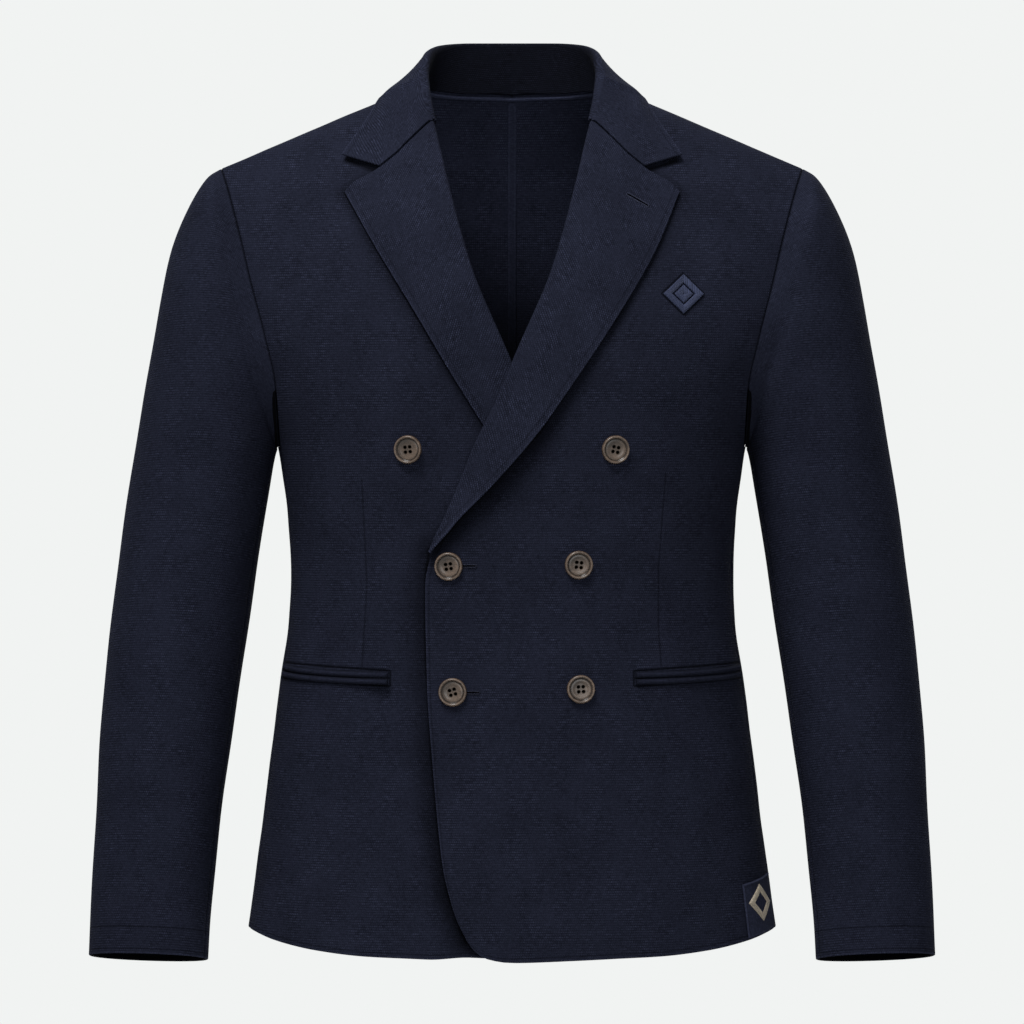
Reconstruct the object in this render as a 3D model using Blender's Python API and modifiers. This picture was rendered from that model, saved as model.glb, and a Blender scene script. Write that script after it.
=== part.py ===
"""A double-breasted blazer, filled out as if worn and hollow inside.

Metres, +Z up. The front faces -Y and the wearer's left is +X. The origin lies between the
shoulders at the base of the neck, where the wearer holds the garment up. Each cut piece is
one closed wall of cloth. The trunk is one form: below the armpits it is a stack of rings,
and above them it closes over the shoulder line. The sleeves leave the same armholes that
the fronts and backs end in.
"""

from math import pi

import bpy
import numpy as np
from mathutils import Matrix, Vector

# ---------------------------------------------------------------- driving sizes

CLOTH = 0.0020  # wall of every cut piece
SEAM = 0.0004  # gap between two pieces at a seam
REST = 0.0004  # gap under a piece that lies on another
TAPE = 0.0008  # wall of tapes, jets and patches
UNDERLAP = 0.0064  # how far the under front lies inside the form, where the top one covers it

SQUARENESS = 2.4  # exponent of the trunk's rings: 2 is an ellipse
SLEEVE_SQUARENESS = 2.1
ARMPIT = -0.278  # height of the bottom of the armholes
RIDGE_TOP = 0.0459  # height at which the shoulder line would meet the middle
RIDGE_SLOPE = 0.4314
RIDGE_EASE = 0.03  # rounds the shoulder line where it crosses the middle
SHOULDER_DROP = 0.24  # below the shoulder line, the height over which the trunk fills out
NECK_HALF = 0.0745  # half width of the neckline at the shoulder seams
NECK_DROP = 0.025  # how far the middle of the back neckline lies under the shoulder line
SIDE_SEAM_FORWARD = 0.027  # the side seams lie this far in front of the sides
HEM_LEVEL = -0.672  # a height near the hem, at which the hem's places are measured
BACK_HEM = -0.662

UPPER_ROWS = 11
ACROSS = (0.0, 0.03, 0.065, 0.11, 0.18, 0.26, 0.35, 0.45, 0.55, 0.65, 0.76, 0.88, 1.0)  # columns
NECK_COLUMNS = np.array([1.0, 0.8, 0.6, 0.4, 0.2, 0.0])  # columns of half a back at the neckline
BELOW = (0.0, 0.065, 0.13, 0.19, 0.25, 0.34, 0.46, 0.58, 0.70, 0.81, 0.91, 1.0)  # lower rows
FOLD_RADIUS = 0.0026  # outer radius of the collar's and the lapels' fold

BUTTON_RADIUS = 0.0112
BUTTON_HEIGHT = 0.0036
HOLE_RADIUS = 0.0010
HOLE_SPREAD = 0.0019


def table(columns, *rows):
    """A dict of arrays, one for each named column."""
    return dict(zip(columns.split(), np.array(rows, float).T))


# Half width and depths of the trunk. Above the armpits the width is that of the form the
# armholes are cut from.
TRUNK = table(
    "height half_width front back",
    (-0.700, 0.2160, 0.1240, 0.1380),
    (-0.640, 0.2080, 0.1230, 0.1360),
    (-0.576, 0.1992, 0.1210, 0.1320),
    (-0.512, 0.1912, 0.1190, 0.1260),
    (-0.464, 0.1852, 0.1180, 0.1200),
    (-0.416, 0.1782, 0.1170, 0.1150),
    (-0.376, 0.1768, 0.1180, 0.1160),
    (-0.336, 0.1790, 0.1200, 0.1210),
    (-0.304, 0.1828, 0.1225, 0.1270),
    (-0.278, 0.1868, 0.1240, 0.1310),
    (-0.262, 0.1915, 0.1245, 0.1325),
    (-0.230, 0.2045, 0.1250, 0.1345),
    (-0.191, 0.2275, 0.1250, 0.1350),
    (-0.152, 0.2480, 0.1250, 0.1350),
    (-0.111, 0.2640, 0.1250, 0.1350),
    (-0.055, 0.2780, 0.1250, 0.1350),
    (0.060, 0.2800, 0.1250, 0.1350),
)

# The edge of a front from the neck point to the armpit's height: the crease that the lapel
# turns on. The drop is a share of the way from the shoulder line to the armpit.
CREASE = table(
    "drop across",
    (0.000, 0.0745),
    (0.123, 0.0620),
    (0.302, 0.0502),
    (0.545, 0.0311),
    (0.785, 0.0006),
    (0.882, -0.0119),
    (0.952, -0.0228),
    (1.000, -0.0300),
)

# The same edge below: the rest of the crease, the closing edge and the rounded corner.
CLOSING = table(
    "height across",
    (-0.665, -0.0353),
    (-0.649, -0.0431),
    (-0.629, -0.0494),
    (-0.608, -0.0541),
    (-0.583, -0.0572),
    (-0.523, -0.0627),
    (-0.466, -0.0666),
    (-0.394, -0.0681),
    (-0.366, -0.0666),
    (-0.354, -0.0627),
    (-0.336, -0.0541),
    (-0.311, -0.0431),
    (-0.278, -0.0300),
)

# The front hem, from the rounded corner to the side.
HEM = table(
    "across height",
    (-0.0353, -0.6650),
    (-0.0270, -0.6750),
    (-0.0158, -0.6800),
    (0.0000, -0.6821),
    (0.0500, -0.6805),
    (0.0850, -0.6780),
    (0.1170, -0.6755),
    (0.1550, -0.6710),
    (0.1880, -0.6650),
    (0.2110, -0.6600),
)

# Where the front and back armhole edges lie, from the shoulder point down to the side seam.
ARMHOLE = table(
    "drop front back",
    (0.000, 0.2325, 0.2325),
    (0.076, 0.2273, 0.2290),
    (0.275, 0.2157, 0.2205),
    (0.465, 0.2056, 0.2120),
    (0.640, 0.1952, 0.2030),
    (0.800, 0.1872, 0.1945),
    (0.930, 0.1856, 0.1905),
    (1.000, 0.1848, 0.1868),
)

# Sections of a sleeve from just outside the armhole to the cuff: the ends of each section
# next to the body and away from it, its middle front to back, its half depth, and how far
# its front edge lies above its back edge.
SLEEVE = table(
    "inner_across inner_height outer_across outer_height middle half_depth slant",
    (0.1877, -0.2796, 0.2448, -0.0640, 0.0020, 0.0690, 0.0000),
    (0.1881, -0.2816, 0.2590, -0.0870, 0.0020, 0.0715, 0.0000),
    (0.1889, -0.2842, 0.2718, -0.1190, 0.0020, 0.0715, 0.0000),
    (0.1899, -0.2885, 0.2812, -0.1610, 0.0020, 0.0705, 0.0000),
    (0.1914, -0.2960, 0.2890, -0.2070, 0.0020, 0.0690, 0.0000),
    (0.1938, -0.3100, 0.2968, -0.2520, 0.0020, 0.0670, 0.0000),
    (0.1978, -0.3340, 0.3043, -0.2980, 0.0010, 0.0655, 0.0000),
    (0.2027, -0.3660, 0.3118, -0.3480, 0.0000, 0.0640, 0.0000),
    (0.2085, -0.4060, 0.3183, -0.4000, -0.0020, 0.0620, 0.0000),
    (0.2160, -0.4560, 0.3245, -0.4560, -0.0040, 0.0595, 0.0000),
    (0.2232, -0.5060, 0.3286, -0.5060, -0.0080, 0.0570, 0.0020),
    (0.2300, -0.5560, 0.3312, -0.5560, -0.0130, 0.0540, 0.0040),
    (0.2356, -0.6060, 0.3336, -0.6060, -0.0180, 0.0510, 0.0060),
    (0.2398, -0.6490, 0.3356, -0.6490, -0.0220, 0.0480, 0.0080),
    (0.2422, -0.6860, 0.3366, -0.6830, -0.0250, 0.0455, 0.0105),
)
SEAM_TURN = 0.30  # the sleeve's front seam lies this angle in front of its inner side
BACK_SEAM_ROW = 6  # the armhole row that the sleeve's back seam leaves

# The collar, from the middle of the back to the top of the crease. The foot lies on the
# neckline and the edge on the shoulders, both given as a way across and a signed drop from
# the shoulder line: below zero is the back. The fold is a line in space.
COLLAR = table(
    "along fold_across fold_deep fold_height foot_across foot_drop edge_across edge_drop",
    (0.00, 0.0000, 0.0600, 0.0495, 0.0000, -0.0250, 0.0000, -0.0470),
    (0.20, 0.0340, 0.0550, 0.0488, 0.0320, -0.0186, 0.0460, -0.0350),
    (0.40, 0.0570, 0.0360, 0.0450, 0.0590, -0.0078, 0.0825, -0.0170),
    (0.55, 0.0655, 0.0130, 0.0370, 0.0735, -0.0004, 0.1015, -0.0045),
    (0.70, 0.0670, -0.0100, 0.0230, 0.0725, 0.0060, 0.1085, 0.0040),
    (0.85, 0.0650, -0.0310, 0.0020, 0.0680, 0.0200, 0.1190, 0.0195),
    (1.00, 0.0620, -0.0478, -0.0205, 0.0622, 0.0345, 0.1315, 0.0375),
)
COLLAR_STEPS = 10  # from the middle of the back to one end
NOTCH = (0.1030, -0.0585)  # across and height of the inner corner of the notch
GORGE = (0.0620, -0.0205)  # where the collar's end meets the crease
LAPEL_END = -0.3565  # height at which the lapel has tapered into the closing edge
LAPEL_ROWS = 13
LAPEL_EDGE = table(
    "height left right",
    (-0.3550, -0.0594, -0.0594),
    (-0.3484, -0.0532, -0.0534),
    (-0.3437, -0.0490, -0.0492),
    (-0.3355, -0.0421, -0.0423),
    (-0.3090, -0.0158, -0.0165),
    (-0.2680, 0.0201, 0.0185),
    (-0.2420, 0.0388, 0.0353),
    (-0.1740, 0.0842, 0.0757),
    (-0.1240, 0.1128, 0.1060),
    (-0.0785, 0.1315, 0.1315),
)

POCKET = {"inner": 0.0962, "outer": 0.1830, "inner_top": -0.4552, "outer_top": -0.4500}
JET_HEIGHT = 0.0058

# Where the buttons lie. The first is on the under front, the others on the top one.
BUTTONS = (
    (-0.0815, -0.2812),
    (0.0807, -0.2812),
    (-0.0495, -0.3726),
    (0.0521, -0.3714),
    (-0.0463, -0.4709),
    (0.0537, -0.4686),
)
BUTTON_TURNS = (0.1, -0.2, 0.15, -0.1, 0.3, 0.05)

MOTIF = {"across": 0.1344, "height": -0.1591, "half_width": 0.0160, "half_height": 0.0155}
PATCH = {"inner": 0.1835, "inner_top": -0.6240, "outer_top": -0.6165, "above_hem": 0.0015}
CENTRE_TAPE_HALF = 0.0036

NAVY = (0.016, 0.020, 0.036)


# ---------------------------------------------------------------- the form


def read(rows, key, column, at):
    """A smooth value between the rows of a table: a cubic through them, with no overshoot."""
    x, y = rows[key], rows[column]
    gap = np.diff(x)
    rise = np.diff(y) / gap
    slope = np.empty_like(y)
    slope[0], slope[-1] = rise[0], rise[-1]
    before, after = rise[:-1], rise[1:]
    same = before * after > 0
    slope[1:-1] = np.where(same, 2 * before * after / np.where(same, before + after, 1), 0)
    at = np.clip(at, x[0], x[-1])
    i = np.clip(np.searchsorted(x, at) - 1, 0, len(x) - 2)
    t = (at - x[i]) / gap[i]
    start = y[i] * (1 + 2 * t) * (1 - t) ** 2 + slope[i] * gap[i] * t * (1 - t) ** 2
    end = y[i + 1] * t**2 * (3 - 2 * t) + slope[i + 1] * gap[i] * t**2 * (t - 1)
    return start + end


def ease(t):
    """A smooth step from 0 to 1."""
    t = np.clip(t, 0, 1)
    return t * t * (3 - 2 * t)


def mix(a, b, t):
    return a + (b - a) * t


def unit(v):
    return v / np.linalg.norm(v, axis=-1, keepdims=True)


def stack(*columns):
    return np.stack(np.broadcast_arrays(*columns), -1).astype(float)


def shoulder(across):
    """Height of the shoulder line."""
    return RIDGE_TOP - RIDGE_SLOPE * np.hypot(across, RIDGE_EASE)


def over_shoulder(across, drop):
    """A point of the trunk above the armpits. The drop is signed: below zero is the back.

    The depth is the ring's depth there, times a share that grows from nothing at the
    shoulder line to the whole at SHOULDER_DROP.
    """
    height = shoulder(across) - np.abs(drop)
    width = read(TRUNK, "height", "half_width", height)
    side = (1 - np.clip(np.abs(across) / width, 0, 1) ** SQUARENESS) ** (1 / SQUARENESS)
    left = 1 - np.clip(np.abs(drop) / SHOULDER_DROP, 0, 1)
    front = -read(TRUNK, "height", "front", height) * (1 - left**1.8) ** (2 / 3)
    back = read(TRUNK, "height", "back", height) * (1 - left**2) ** 0.6
    return stack(across, np.where(drop > 0, front, back) * side, height)


def ring(turn, height):
    """A point of the trunk below the armpits. The turn is 0 in front and pi/2 at the left."""
    power = 2 / SQUARENESS
    s, c = np.sin(turn), np.cos(turn)
    across = read(TRUNK, "height", "half_width", height) * np.sign(s) * np.abs(s) ** power
    front = -read(TRUNK, "height", "front", height)
    back = read(TRUNK, "height", "back", height)
    return stack(across, np.where(c > 0, front, back) * np.abs(c) ** power, height)


def normals_over_shoulder(across, drop):
    """Outward normals there, from differences. The root of the drop is even over the ridge."""
    root = np.sign(drop) * np.sqrt(np.abs(drop))
    h, r = 0.0004, 0.006

    def point(x, q):
        return over_shoulder(x, np.sign(q) * q * q)

    side = point(across + h, root) - point(across - h, root)
    down = point(across, root + r) - point(across, root - r)
    return unit(np.cross(down, side))


def normals_of_ring(turn, height):
    h = 0.004
    side = ring(turn + h, height) - ring(turn - h, height)
    up = ring(turn, height + h) - ring(turn, height - h)
    return unit(np.cross(side, up))


def turn_at(across, height):
    """The turn of a front point of a ring, from its way across."""
    share = across / read(TRUNK, "height", "half_width", height)
    return np.arcsin(np.sign(share) * np.abs(share) ** (SQUARENESS / 2))


def side_turn(height):
    """The turn of the side seam."""
    share = SIDE_SEAM_FORWARD / read(TRUNK, "height", "front", height)
    return np.arccos(share ** (SQUARENESS / 2))


def neckline_drop(across):
    """How far the back neckline lies under the shoulder line."""
    return NECK_DROP * (1 - np.clip(np.abs(across) / NECK_HALF, 0, 1) ** 1.6)


def crease_at(height):
    """How far across the front edge of the left front lies, at a height."""
    share = np.linspace(0, 1, 200)
    across = read(CREASE, "drop", "across", share)
    down = mix(shoulder(across), ARMPIT, share)
    high = np.interp(height, down[::-1], across[::-1])
    return np.where(height > ARMPIT, high, read(CLOSING, "height", "across", height))


def clear_of_form(points, lift):
    """The points, moved out where they come nearer to the trunk than the lift."""
    for _ in range(3):
        x, y, z = points[..., 0], points[..., 1], points[..., 2]
        drop = np.sign(-y) * np.maximum(shoulder(x) - z, 1e-6)
        form, out = over_shoulder(x, drop), normals_over_shoulder(x, drop)
        away = ((points - form) * out).sum(-1, keepdims=True)
        points = points + out * np.clip(lift - away, 0, lift)
    return points


def front_point(across, height):
    """A point and its normal on the front of the trunk, from the front view."""
    across, height = np.broadcast_arrays(np.asarray(across, float), height)
    drop = shoulder(across) - height
    high = over_shoulder(across, drop), normals_over_shoulder(across, drop)
    turn = turn_at(across, height)
    low = ring(turn, height), normals_of_ring(turn, height)
    above = (height > ARMPIT)[..., None]
    return np.where(above, high[0], low[0]), np.where(above, high[1], low[1])


# ---------------------------------------------------------------- walls of cloth

UNDER = (0.5 - 0.5 * np.cos(pi * np.arange(UPPER_ROWS + 1) / UPPER_ROWS))[:, None]


def collections():
    for data in list(bpy.data.objects):
        bpy.data.objects.remove(data, do_unlink=True)
    made = []
    for name in ("Blazer", "Cutters"):
        made.append(bpy.data.collections.new(name))
        bpy.context.scene.collection.children.link(made[-1])
    made[1].hide_render = True
    return made


def material(name, colour, roughness):
    made = bpy.data.materials.new(name)
    made.use_nodes = True
    shader = made.node_tree.nodes["Principled BSDF"]
    shader.inputs["Base Color"].default_value = (*colour, 1)
    shader.inputs["Roughness"].default_value = roughness
    shader.inputs["Metallic"].default_value = 0
    return made


def place(name, mesh, colour, roughness=0.85):
    """An object of this mesh, with a material of its own."""
    mesh.materials.append(material(name, colour, roughness))
    made = bpy.data.objects.new(name, mesh)
    PARTS.objects.link(made)
    return made


def flipped(points, normals):
    """The mirror image of a grid, for the wearer's right."""
    over = np.array([-1, 1, 1])
    return points[:, ::-1] * over, normals[:, ::-1] * over


def narrowed(points, top=0.0, bottom=0.0, first=0.0, last=0.0):
    """The grid with its edges drawn in by these distances, which leaves the gaps at seams."""
    made = points.copy()
    made[0] += unit(points[1] - points[0]) * top
    made[-1] += unit(points[-2] - points[-1]) * bottom
    made[:, 0] += unit(points[:, 1] - points[:, 0]) * first
    made[:, -1] += unit(points[:, -2] - points[:, -1]) * last
    return made


def wall(name, points, normals, thickness=CLOTH, colour=NAVY):
    """A closed wall between a grid of outer points and the same grid moved in.

    Seen from outside, a row runs to the right and the rows run down.
    """
    rows, columns = points.shape[:2]
    inner = points - normals * thickness
    count = rows * columns
    index = np.arange(count).reshape(rows, columns)
    a, b = index[:-1, :-1], index[:-1, 1:]
    c, d = index[1:, 1:], index[1:, :-1]
    outside = np.stack([a, d, c, b], -1).reshape(-1, 4)
    inside = np.stack([a, b, c, d], -1).reshape(-1, 4) + count
    round_edge = np.concatenate(
        [index[0, :-1], index[:-1, -1], index[-1, :0:-1], index[:0:-1, 0]]
    )
    after = np.roll(round_edge, -1)
    falls = np.arange(len(after)) < rows + columns - 2
    rim = np.concatenate([
        np.stack([round_edge, after, np.where(falls, after, round_edge) + count], -1),
        np.stack([np.where(falls, round_edge, after), after + count, round_edge + count], -1),
    ])
    mesh = bpy.data.meshes.new(name)
    faces = outside.tolist() + inside.tolist() + rim.tolist()
    mesh.from_pydata(np.concatenate([points.reshape(-1, 3), inner.reshape(-1, 3)]), [], faces)
    mesh.validate()
    mesh.shade_smooth()
    mesh.set_sharp_from_angle(angle=0.7)
    return place(name, mesh, colour)


def grid_normals(points, closed=False):
    """Normals of a grid from its own neighbours."""
    if closed:
        side = np.roll(points, -1, 1) - np.roll(points, 1, 1)
    else:
        side = np.gradient(points, axis=1)
    return unit(np.cross(np.gradient(points, axis=0), side))


# ---------------------------------------------------------------- the pieces


def front():
    """Grid of the wearer's left front and its normals: rows run from the closing edge."""
    share = np.array(ACROSS)[None, :]
    edge = turn_at(CLOSING["across"][-1], ARMPIT)
    armpit = ring(mix(edge, side_turn(ARMPIT), share), ARMPIT)[..., 0]
    spread = (armpit - armpit[:, :1]) / (armpit[:, -1:] - armpit[:, :1])
    first = read(CREASE, "drop", "across", UNDER)
    last = read(ARMHOLE, "drop", "front", UNDER)
    across = mix(first, last, spread)
    drop = UNDER * (shoulder(across) - ARMPIT)
    high = over_shoulder(across, drop), normals_over_shoulder(across, np.maximum(drop, 1e-9))

    down = np.array(BELOW)[:, None]
    corner = turn_at(HEM["across"][0], HEM_LEVEL)
    bottom = ring(mix(corner, side_turn(HEM_LEVEL), share), HEM_LEVEL)[..., 0]
    height = mix(ARMPIT, read(HEM, "across", "height", bottom), down)
    left = turn_at(read(CLOSING, "height", "across", height[:, :1]), height[:, :1])
    turn = mix(left, side_turn(height), share)
    low = ring(turn, height), normals_of_ring(turn, height)
    return [np.concatenate([a[:-1], b]) for a, b in zip(high, low)]


def back():
    """Grid of the wearer's left back and its normals: rows run from the side to the middle."""
    across_top = np.array([0.2325, 0.196, 0.158, 0.118, *NECK_HALF * NECK_COLUMNS])
    share = np.linspace(0, 1, len(across_top))[None, :]
    armpit = ring(mix(side_turn(ARMPIT), pi, share), ARMPIT)[..., 0]
    most = np.where(share == 0, 1, 0.99)
    share_below = np.minimum(armpit / armpit[:, :1], most)
    spread = mix(across_top / across_top[0], share_below, ease(UNDER))
    across = read(ARMHOLE, "drop", "back", UNDER) * spread
    neckline = neckline_drop(across_top)
    drop = neckline + (shoulder(across) - ARMPIT - neckline) * UNDER
    high = over_shoulder(across, -drop), normals_over_shoulder(across, -drop)

    down = np.array(BELOW)[:, None]
    height = mix(ARMPIT, mix(HEM["height"][-1], BACK_HEM, ease(share * 2)), down)
    turn = mix(side_turn(height), pi, share)
    low = ring(turn, height), normals_of_ring(turn, height)
    return [np.concatenate([a[:-1], b]) for a, b in zip(high, low)]


def under_by(points):
    """How far inside the form the under front lies, at points of the left front's form."""
    across, height = points[..., 0], points[..., 2]
    covered = -crease_at(height) + 0.008
    near = 1 - ease((across - covered) / 0.065)
    return (UNDERLAP * near * ease((-0.080 - height) / 0.130))[..., None]


def make_fronts():
    points, normals = front()
    points = narrowed(points, top=SEAM / 2, last=SEAM / 2)
    creased = UPPER_ROWS + 5
    pull = unit(points[:creased, 1] - points[:creased, 0]) * (FOLD_RADIUS + 3.5 * SEAM)
    points[:creased, 0] += pull * ease(np.arange(creased, 0, -1) / 2)[:, None]
    wall("front_left", points, normals)
    sunk = points - normals * under_by(points)
    wall("front_right", *flipped(sunk, normals))


def make_backs():
    points, normals = back()
    points = narrowed(points, top=SEAM / 2, first=SEAM / 2)
    points[..., 0] = np.maximum(points[..., 0], SEAM / 2)
    wall("back_left", points, normals)
    wall("back_right", *flipped(points, normals))


def armhole():
    """The loop that a sleeve is set into, down the front and up the back, and its normals."""
    loops = []
    for before, after in zip(front(), back()):
        down, up = before[: UPPER_ROWS + 1, -1], after[UPPER_ROWS - 1 : 0 : -1, 0]
        loops.append(np.concatenate([down, up]))
    return loops


def under_arm(loop):
    """A share that grows to 1 at the bottom of the armhole."""
    return ease((-0.20 - loop[:, 2:]) / 0.07)


def sleeve():
    """Closed grid of the left sleeve: a row is a section and starts at the shoulder point."""
    loop, out = armhole()
    steps = np.arange(UPPER_ROWS + 1) / UPPER_ROWS
    turn = np.concatenate([(pi - SEAM_TURN) * steps, 2 * pi - (pi + SEAM_TURN) * steps[-2:0:-1]])
    power = 2 / SLEEVE_SQUARENESS
    s = np.sign(np.sin(turn)) * np.abs(np.sin(turn)) ** power
    c = np.sign(np.cos(turn)) * np.abs(np.cos(turn)) ** power
    column = {name: values[:, None] for name, values in SLEEVE.items()}
    outward = (1 + c) / 2
    across = mix(column["inner_across"], column["outer_across"], outward)
    height = mix(column["inner_height"], column["outer_height"], outward)
    deep = column["middle"] - column["half_depth"] * s
    sections = stack(across, deep, height + column["slant"] / 2 * s)
    low = under_arm(loop)
    first = loop + unit(sections[0] - loop) * 2 * SEAM * (1 - low) + out * 1.5 * SEAM * low
    return np.concatenate([first[None], sections])


def make_sleeves():
    points = sleeve()[:, ::-1]
    normals = grid_normals(points, closed=True)
    loop, out = armhole()
    normals[0] = unit(mix(normals[0], -out[::-1], under_arm(loop)[::-1]))
    count = points.shape[1]
    front_seam = count - 1 - UPPER_ROWS
    back_seam = BACK_SEAM_ROW - 1
    ranges = {
        "upper": np.arange(front_seam, back_seam + count + 1) % count,
        "under": np.arange(back_seam, front_seam + 1),
    }
    for name, columns in ranges.items():
        grid = narrowed(points[:, columns], first=SEAM / 2, last=SEAM / 2)
        wall(f"{name}_sleeve_left", grid, normals[:, columns])
        wall(f"{name}_sleeve_right", *flipped(grid, normals[:, columns]))


def collar_half():
    """Grid of half a collar, from the middle of the back to its left end, and its normals.

    A column is a section: up the stand, round the fold and down the fall to the edge.
    """
    along = np.linspace(0, 1, COLLAR_STEPS + 1)
    at = {name: read(COLLAR, "along", name, along) for name in COLLAR}
    fold = stack(at["fold_across"], at["fold_deep"], at["fold_height"])
    foot = over_shoulder(at["foot_across"], at["foot_drop"])
    foot_out = normals_over_shoulder(at["foot_across"], at["foot_drop"])
    lift = REST + CLOTH + 0.0006
    edge = over_shoulder(at["edge_across"], at["edge_drop"])
    edge = edge + normals_over_shoulder(at["edge_across"], at["edge_drop"]) * lift
    notch, notch_out = front_point(*NOTCH)

    outward = unit(fold * np.array([1, 1, 0]) + np.array([0, 0.004, 0]))
    end_out = front_point(fold[-1, 0], fold[-1, 2])[1]
    outward = unit(mix(outward, end_out, ease((along - 0.45) / 0.45)[:, None]))
    upward = unit(np.cross(np.gradient(fold, axis=0), outward))
    middle = fold - upward * FOLD_RADIUS
    bend = [
        middle + (outward * np.sin(turn) + upward * np.cos(turn)) * FOLD_RADIUS
        for turn in np.radians([-90, -45, 0, 45, 90])
    ]
    drawn = ease((along - 0.6) / 0.4)[:, None]
    notch_shift = notch + notch_out * lift - mix(bend[-1][-1], edge[-1], 0.6)
    waist = mix(bend[-1], edge, 0.6) + drawn * notch_shift
    fall = [mix(bend[-1], waist, 0.5), waist, mix(waist, edge, 0.5)]
    foot = foot - foot_out * CLOTH
    foot = foot + unit(bend[0] - foot) * 2 * SEAM
    stand = [foot, mix(foot, bend[0], 0.5)]
    rows = stand + bend + [clear_of_form(row, lift) for row in fall] + [edge]
    return np.stack(rows), foot_out


def make_collar():
    half, foot_out = collar_half()
    over = np.array([-1, 1, 1])
    points = np.concatenate([half[:, :0:-1] * over, half], 1)
    normals = grid_normals(points)
    normals[0] = -np.concatenate([foot_out[:0:-1] * over, foot_out])
    wall("collar", narrowed(points, first=SEAM / 2, last=SEAM / 2), normals)


def lapel(side):
    """Grid of a lapel on the left front, and its normals.

    A row starts inside the crease, goes round it and runs out to the lapel's edge.
    """
    along = np.linspace(0, 1, LAPEL_ROWS + 1)
    crease_height = mix(GORGE[1], LAPEL_END, along)
    edge_height = mix(LAPEL_EDGE["height"][-1], LAPEL_EDGE["height"][0], along)
    crease = stack(crease_at(crease_height), crease_height)
    crease[0] = GORGE
    edge = stack(read(LAPEL_EDGE, "height", side, edge_height), edge_height)
    toward = unit(edge - crease)
    notch_shift = np.array(NOTCH) - mix(crease[0], edge[0], 0.6)
    waist = mix(crease, edge, 0.6) + np.where(along == 0, 1, 0)[:, None] * notch_shift
    top = 1.5 * REST + CLOTH
    flat, lifts = [], []
    for turn in np.radians([-90, -135, 180, 135, 90]):
        flat.append(crease + toward * FOLD_RADIUS * (1 + np.cos(turn)))
        lifts.append(top - FOLD_RADIUS * (1 - np.sin(turn)))
    start = flat[-1]
    flat += [mix(start, waist, 0.5), waist, mix(waist, edge, 0.5), edge]
    lifts += [top] * 4
    bulge = np.array([0.0] * 5 + [0.0012, 0.0014, 0.0008, 0.0])[:, None]
    clear = REST
    flat = np.stack(flat, 1)
    form, out = front_point(flat[..., 0], flat[..., 1])
    sunk = under_by(form) if side == "right" else 0
    lifts = np.array(lifts)[:, None] + mix(bulge, clear, sunk / UNDERLAP)
    points = form + out * (lifts - sunk)
    return points, grid_normals(points)


def make_lapels():
    for side in ("left", "right"):
        points, normals = lapel(side)
        points = narrowed(points, top=SEAM / 2)
        if side == "right":
            points, normals = flipped(points, normals)
        wall("lapel_" + side, points, normals)


def laid(form, out, lift=REST, thickness=TAPE):
    """Outer points of a piece that lies on the form, for wall()."""
    return form + out * (lift + thickness)


def make_jets():
    """Two jets to each hip pocket, one over the other."""
    ends = turn_at(np.array([POCKET["inner"], POCKET["outer"]]), POCKET["inner_top"])
    turn = np.linspace(*ends, 11)[None, :]
    slope = np.linspace(0, 1, 11)[None, :] ** 1.5
    top = mix(POCKET["inner_top"], POCKET["outer_top"], slope)
    for place_name, start in (("upper", 0.0), ("lower", JET_HEIGHT + SEAM)):
        height = top - start - np.array([[0.0], [JET_HEIGHT]])
        form, out = ring(turn, height), normals_of_ring(turn, height)
        points = laid(form, out, 1.5 * REST)
        wall(f"jet_{place_name}_left", points, out, TAPE)
        wall(f"jet_{place_name}_right", *flipped(points, out), TAPE)


def make_tapes():
    """The tape under the neck seam and the strip down the middle of the back, both inside."""
    grids = [grid[:, 1 - len(NECK_COLUMNS) :] for grid in back()]
    over = np.array([-1, 1, 1])
    shares = np.array([0.10, 0.50])[:, None, None]
    half = [mix(grid[:1], grid[1:2], shares) for grid in grids]
    points, out = [np.concatenate([grid * over, grid[:, -2::-1]], 1) for grid in half]
    wall("neck_tape", laid(points, -out, CLOTH + REST), -out, TAPE, (0.05, 0.056, 0.08))

    share = CENTRE_TAPE_HALF / np.abs(grids[0][:, -2, :1])
    beside = [mix(grid[:, -1], grid[:, -2], share) for grid in grids]
    points, out = [
        np.stack([side * over, grid[:, -1], side], 1) for side, grid in zip(beside, grids)
    ]
    points = narrowed(points, top=0.005, bottom=0.006)
    wall("centre_tape", laid(points, -out, CLOTH + REST), -out, TAPE, (0.03, 0.034, 0.052))


def make_motif():
    """A plain lozenge on the chest."""
    step = np.linspace(-1, 1, 5)
    down, right = np.meshgrid(step, step, indexing="ij")
    across = MOTIF["across"] + MOTIF["half_width"] * (right + down) / 2
    height = MOTIF["height"] + MOTIF["half_height"] * (right - down) / 2
    form, out = front_point(across, height)
    wall("chest_motif", laid(form, out), out, TAPE, (0.026, 0.032, 0.062))


def make_patch():
    """A patch in the corner between the side seam and the hem of the left front."""
    start = turn_at(PATCH["inner"], PATCH["inner_top"])
    share = np.linspace(0, 1, 5)[None, :]
    turn = mix(start, side_turn(HEM_LEVEL), share)
    hem = read(HEM, "across", "height", ring(turn, HEM_LEVEL)[..., 0]) + PATCH["above_hem"]
    top = mix(PATCH["inner_top"], PATCH["outer_top"], share)
    height = mix(top, hem, np.linspace(0, 1, 4)[:, None])
    form, out = ring(turn, height), normals_of_ring(turn, height)
    wall("hem_patch", laid(form, out), out, TAPE, (0.012, 0.016, 0.032))


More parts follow.
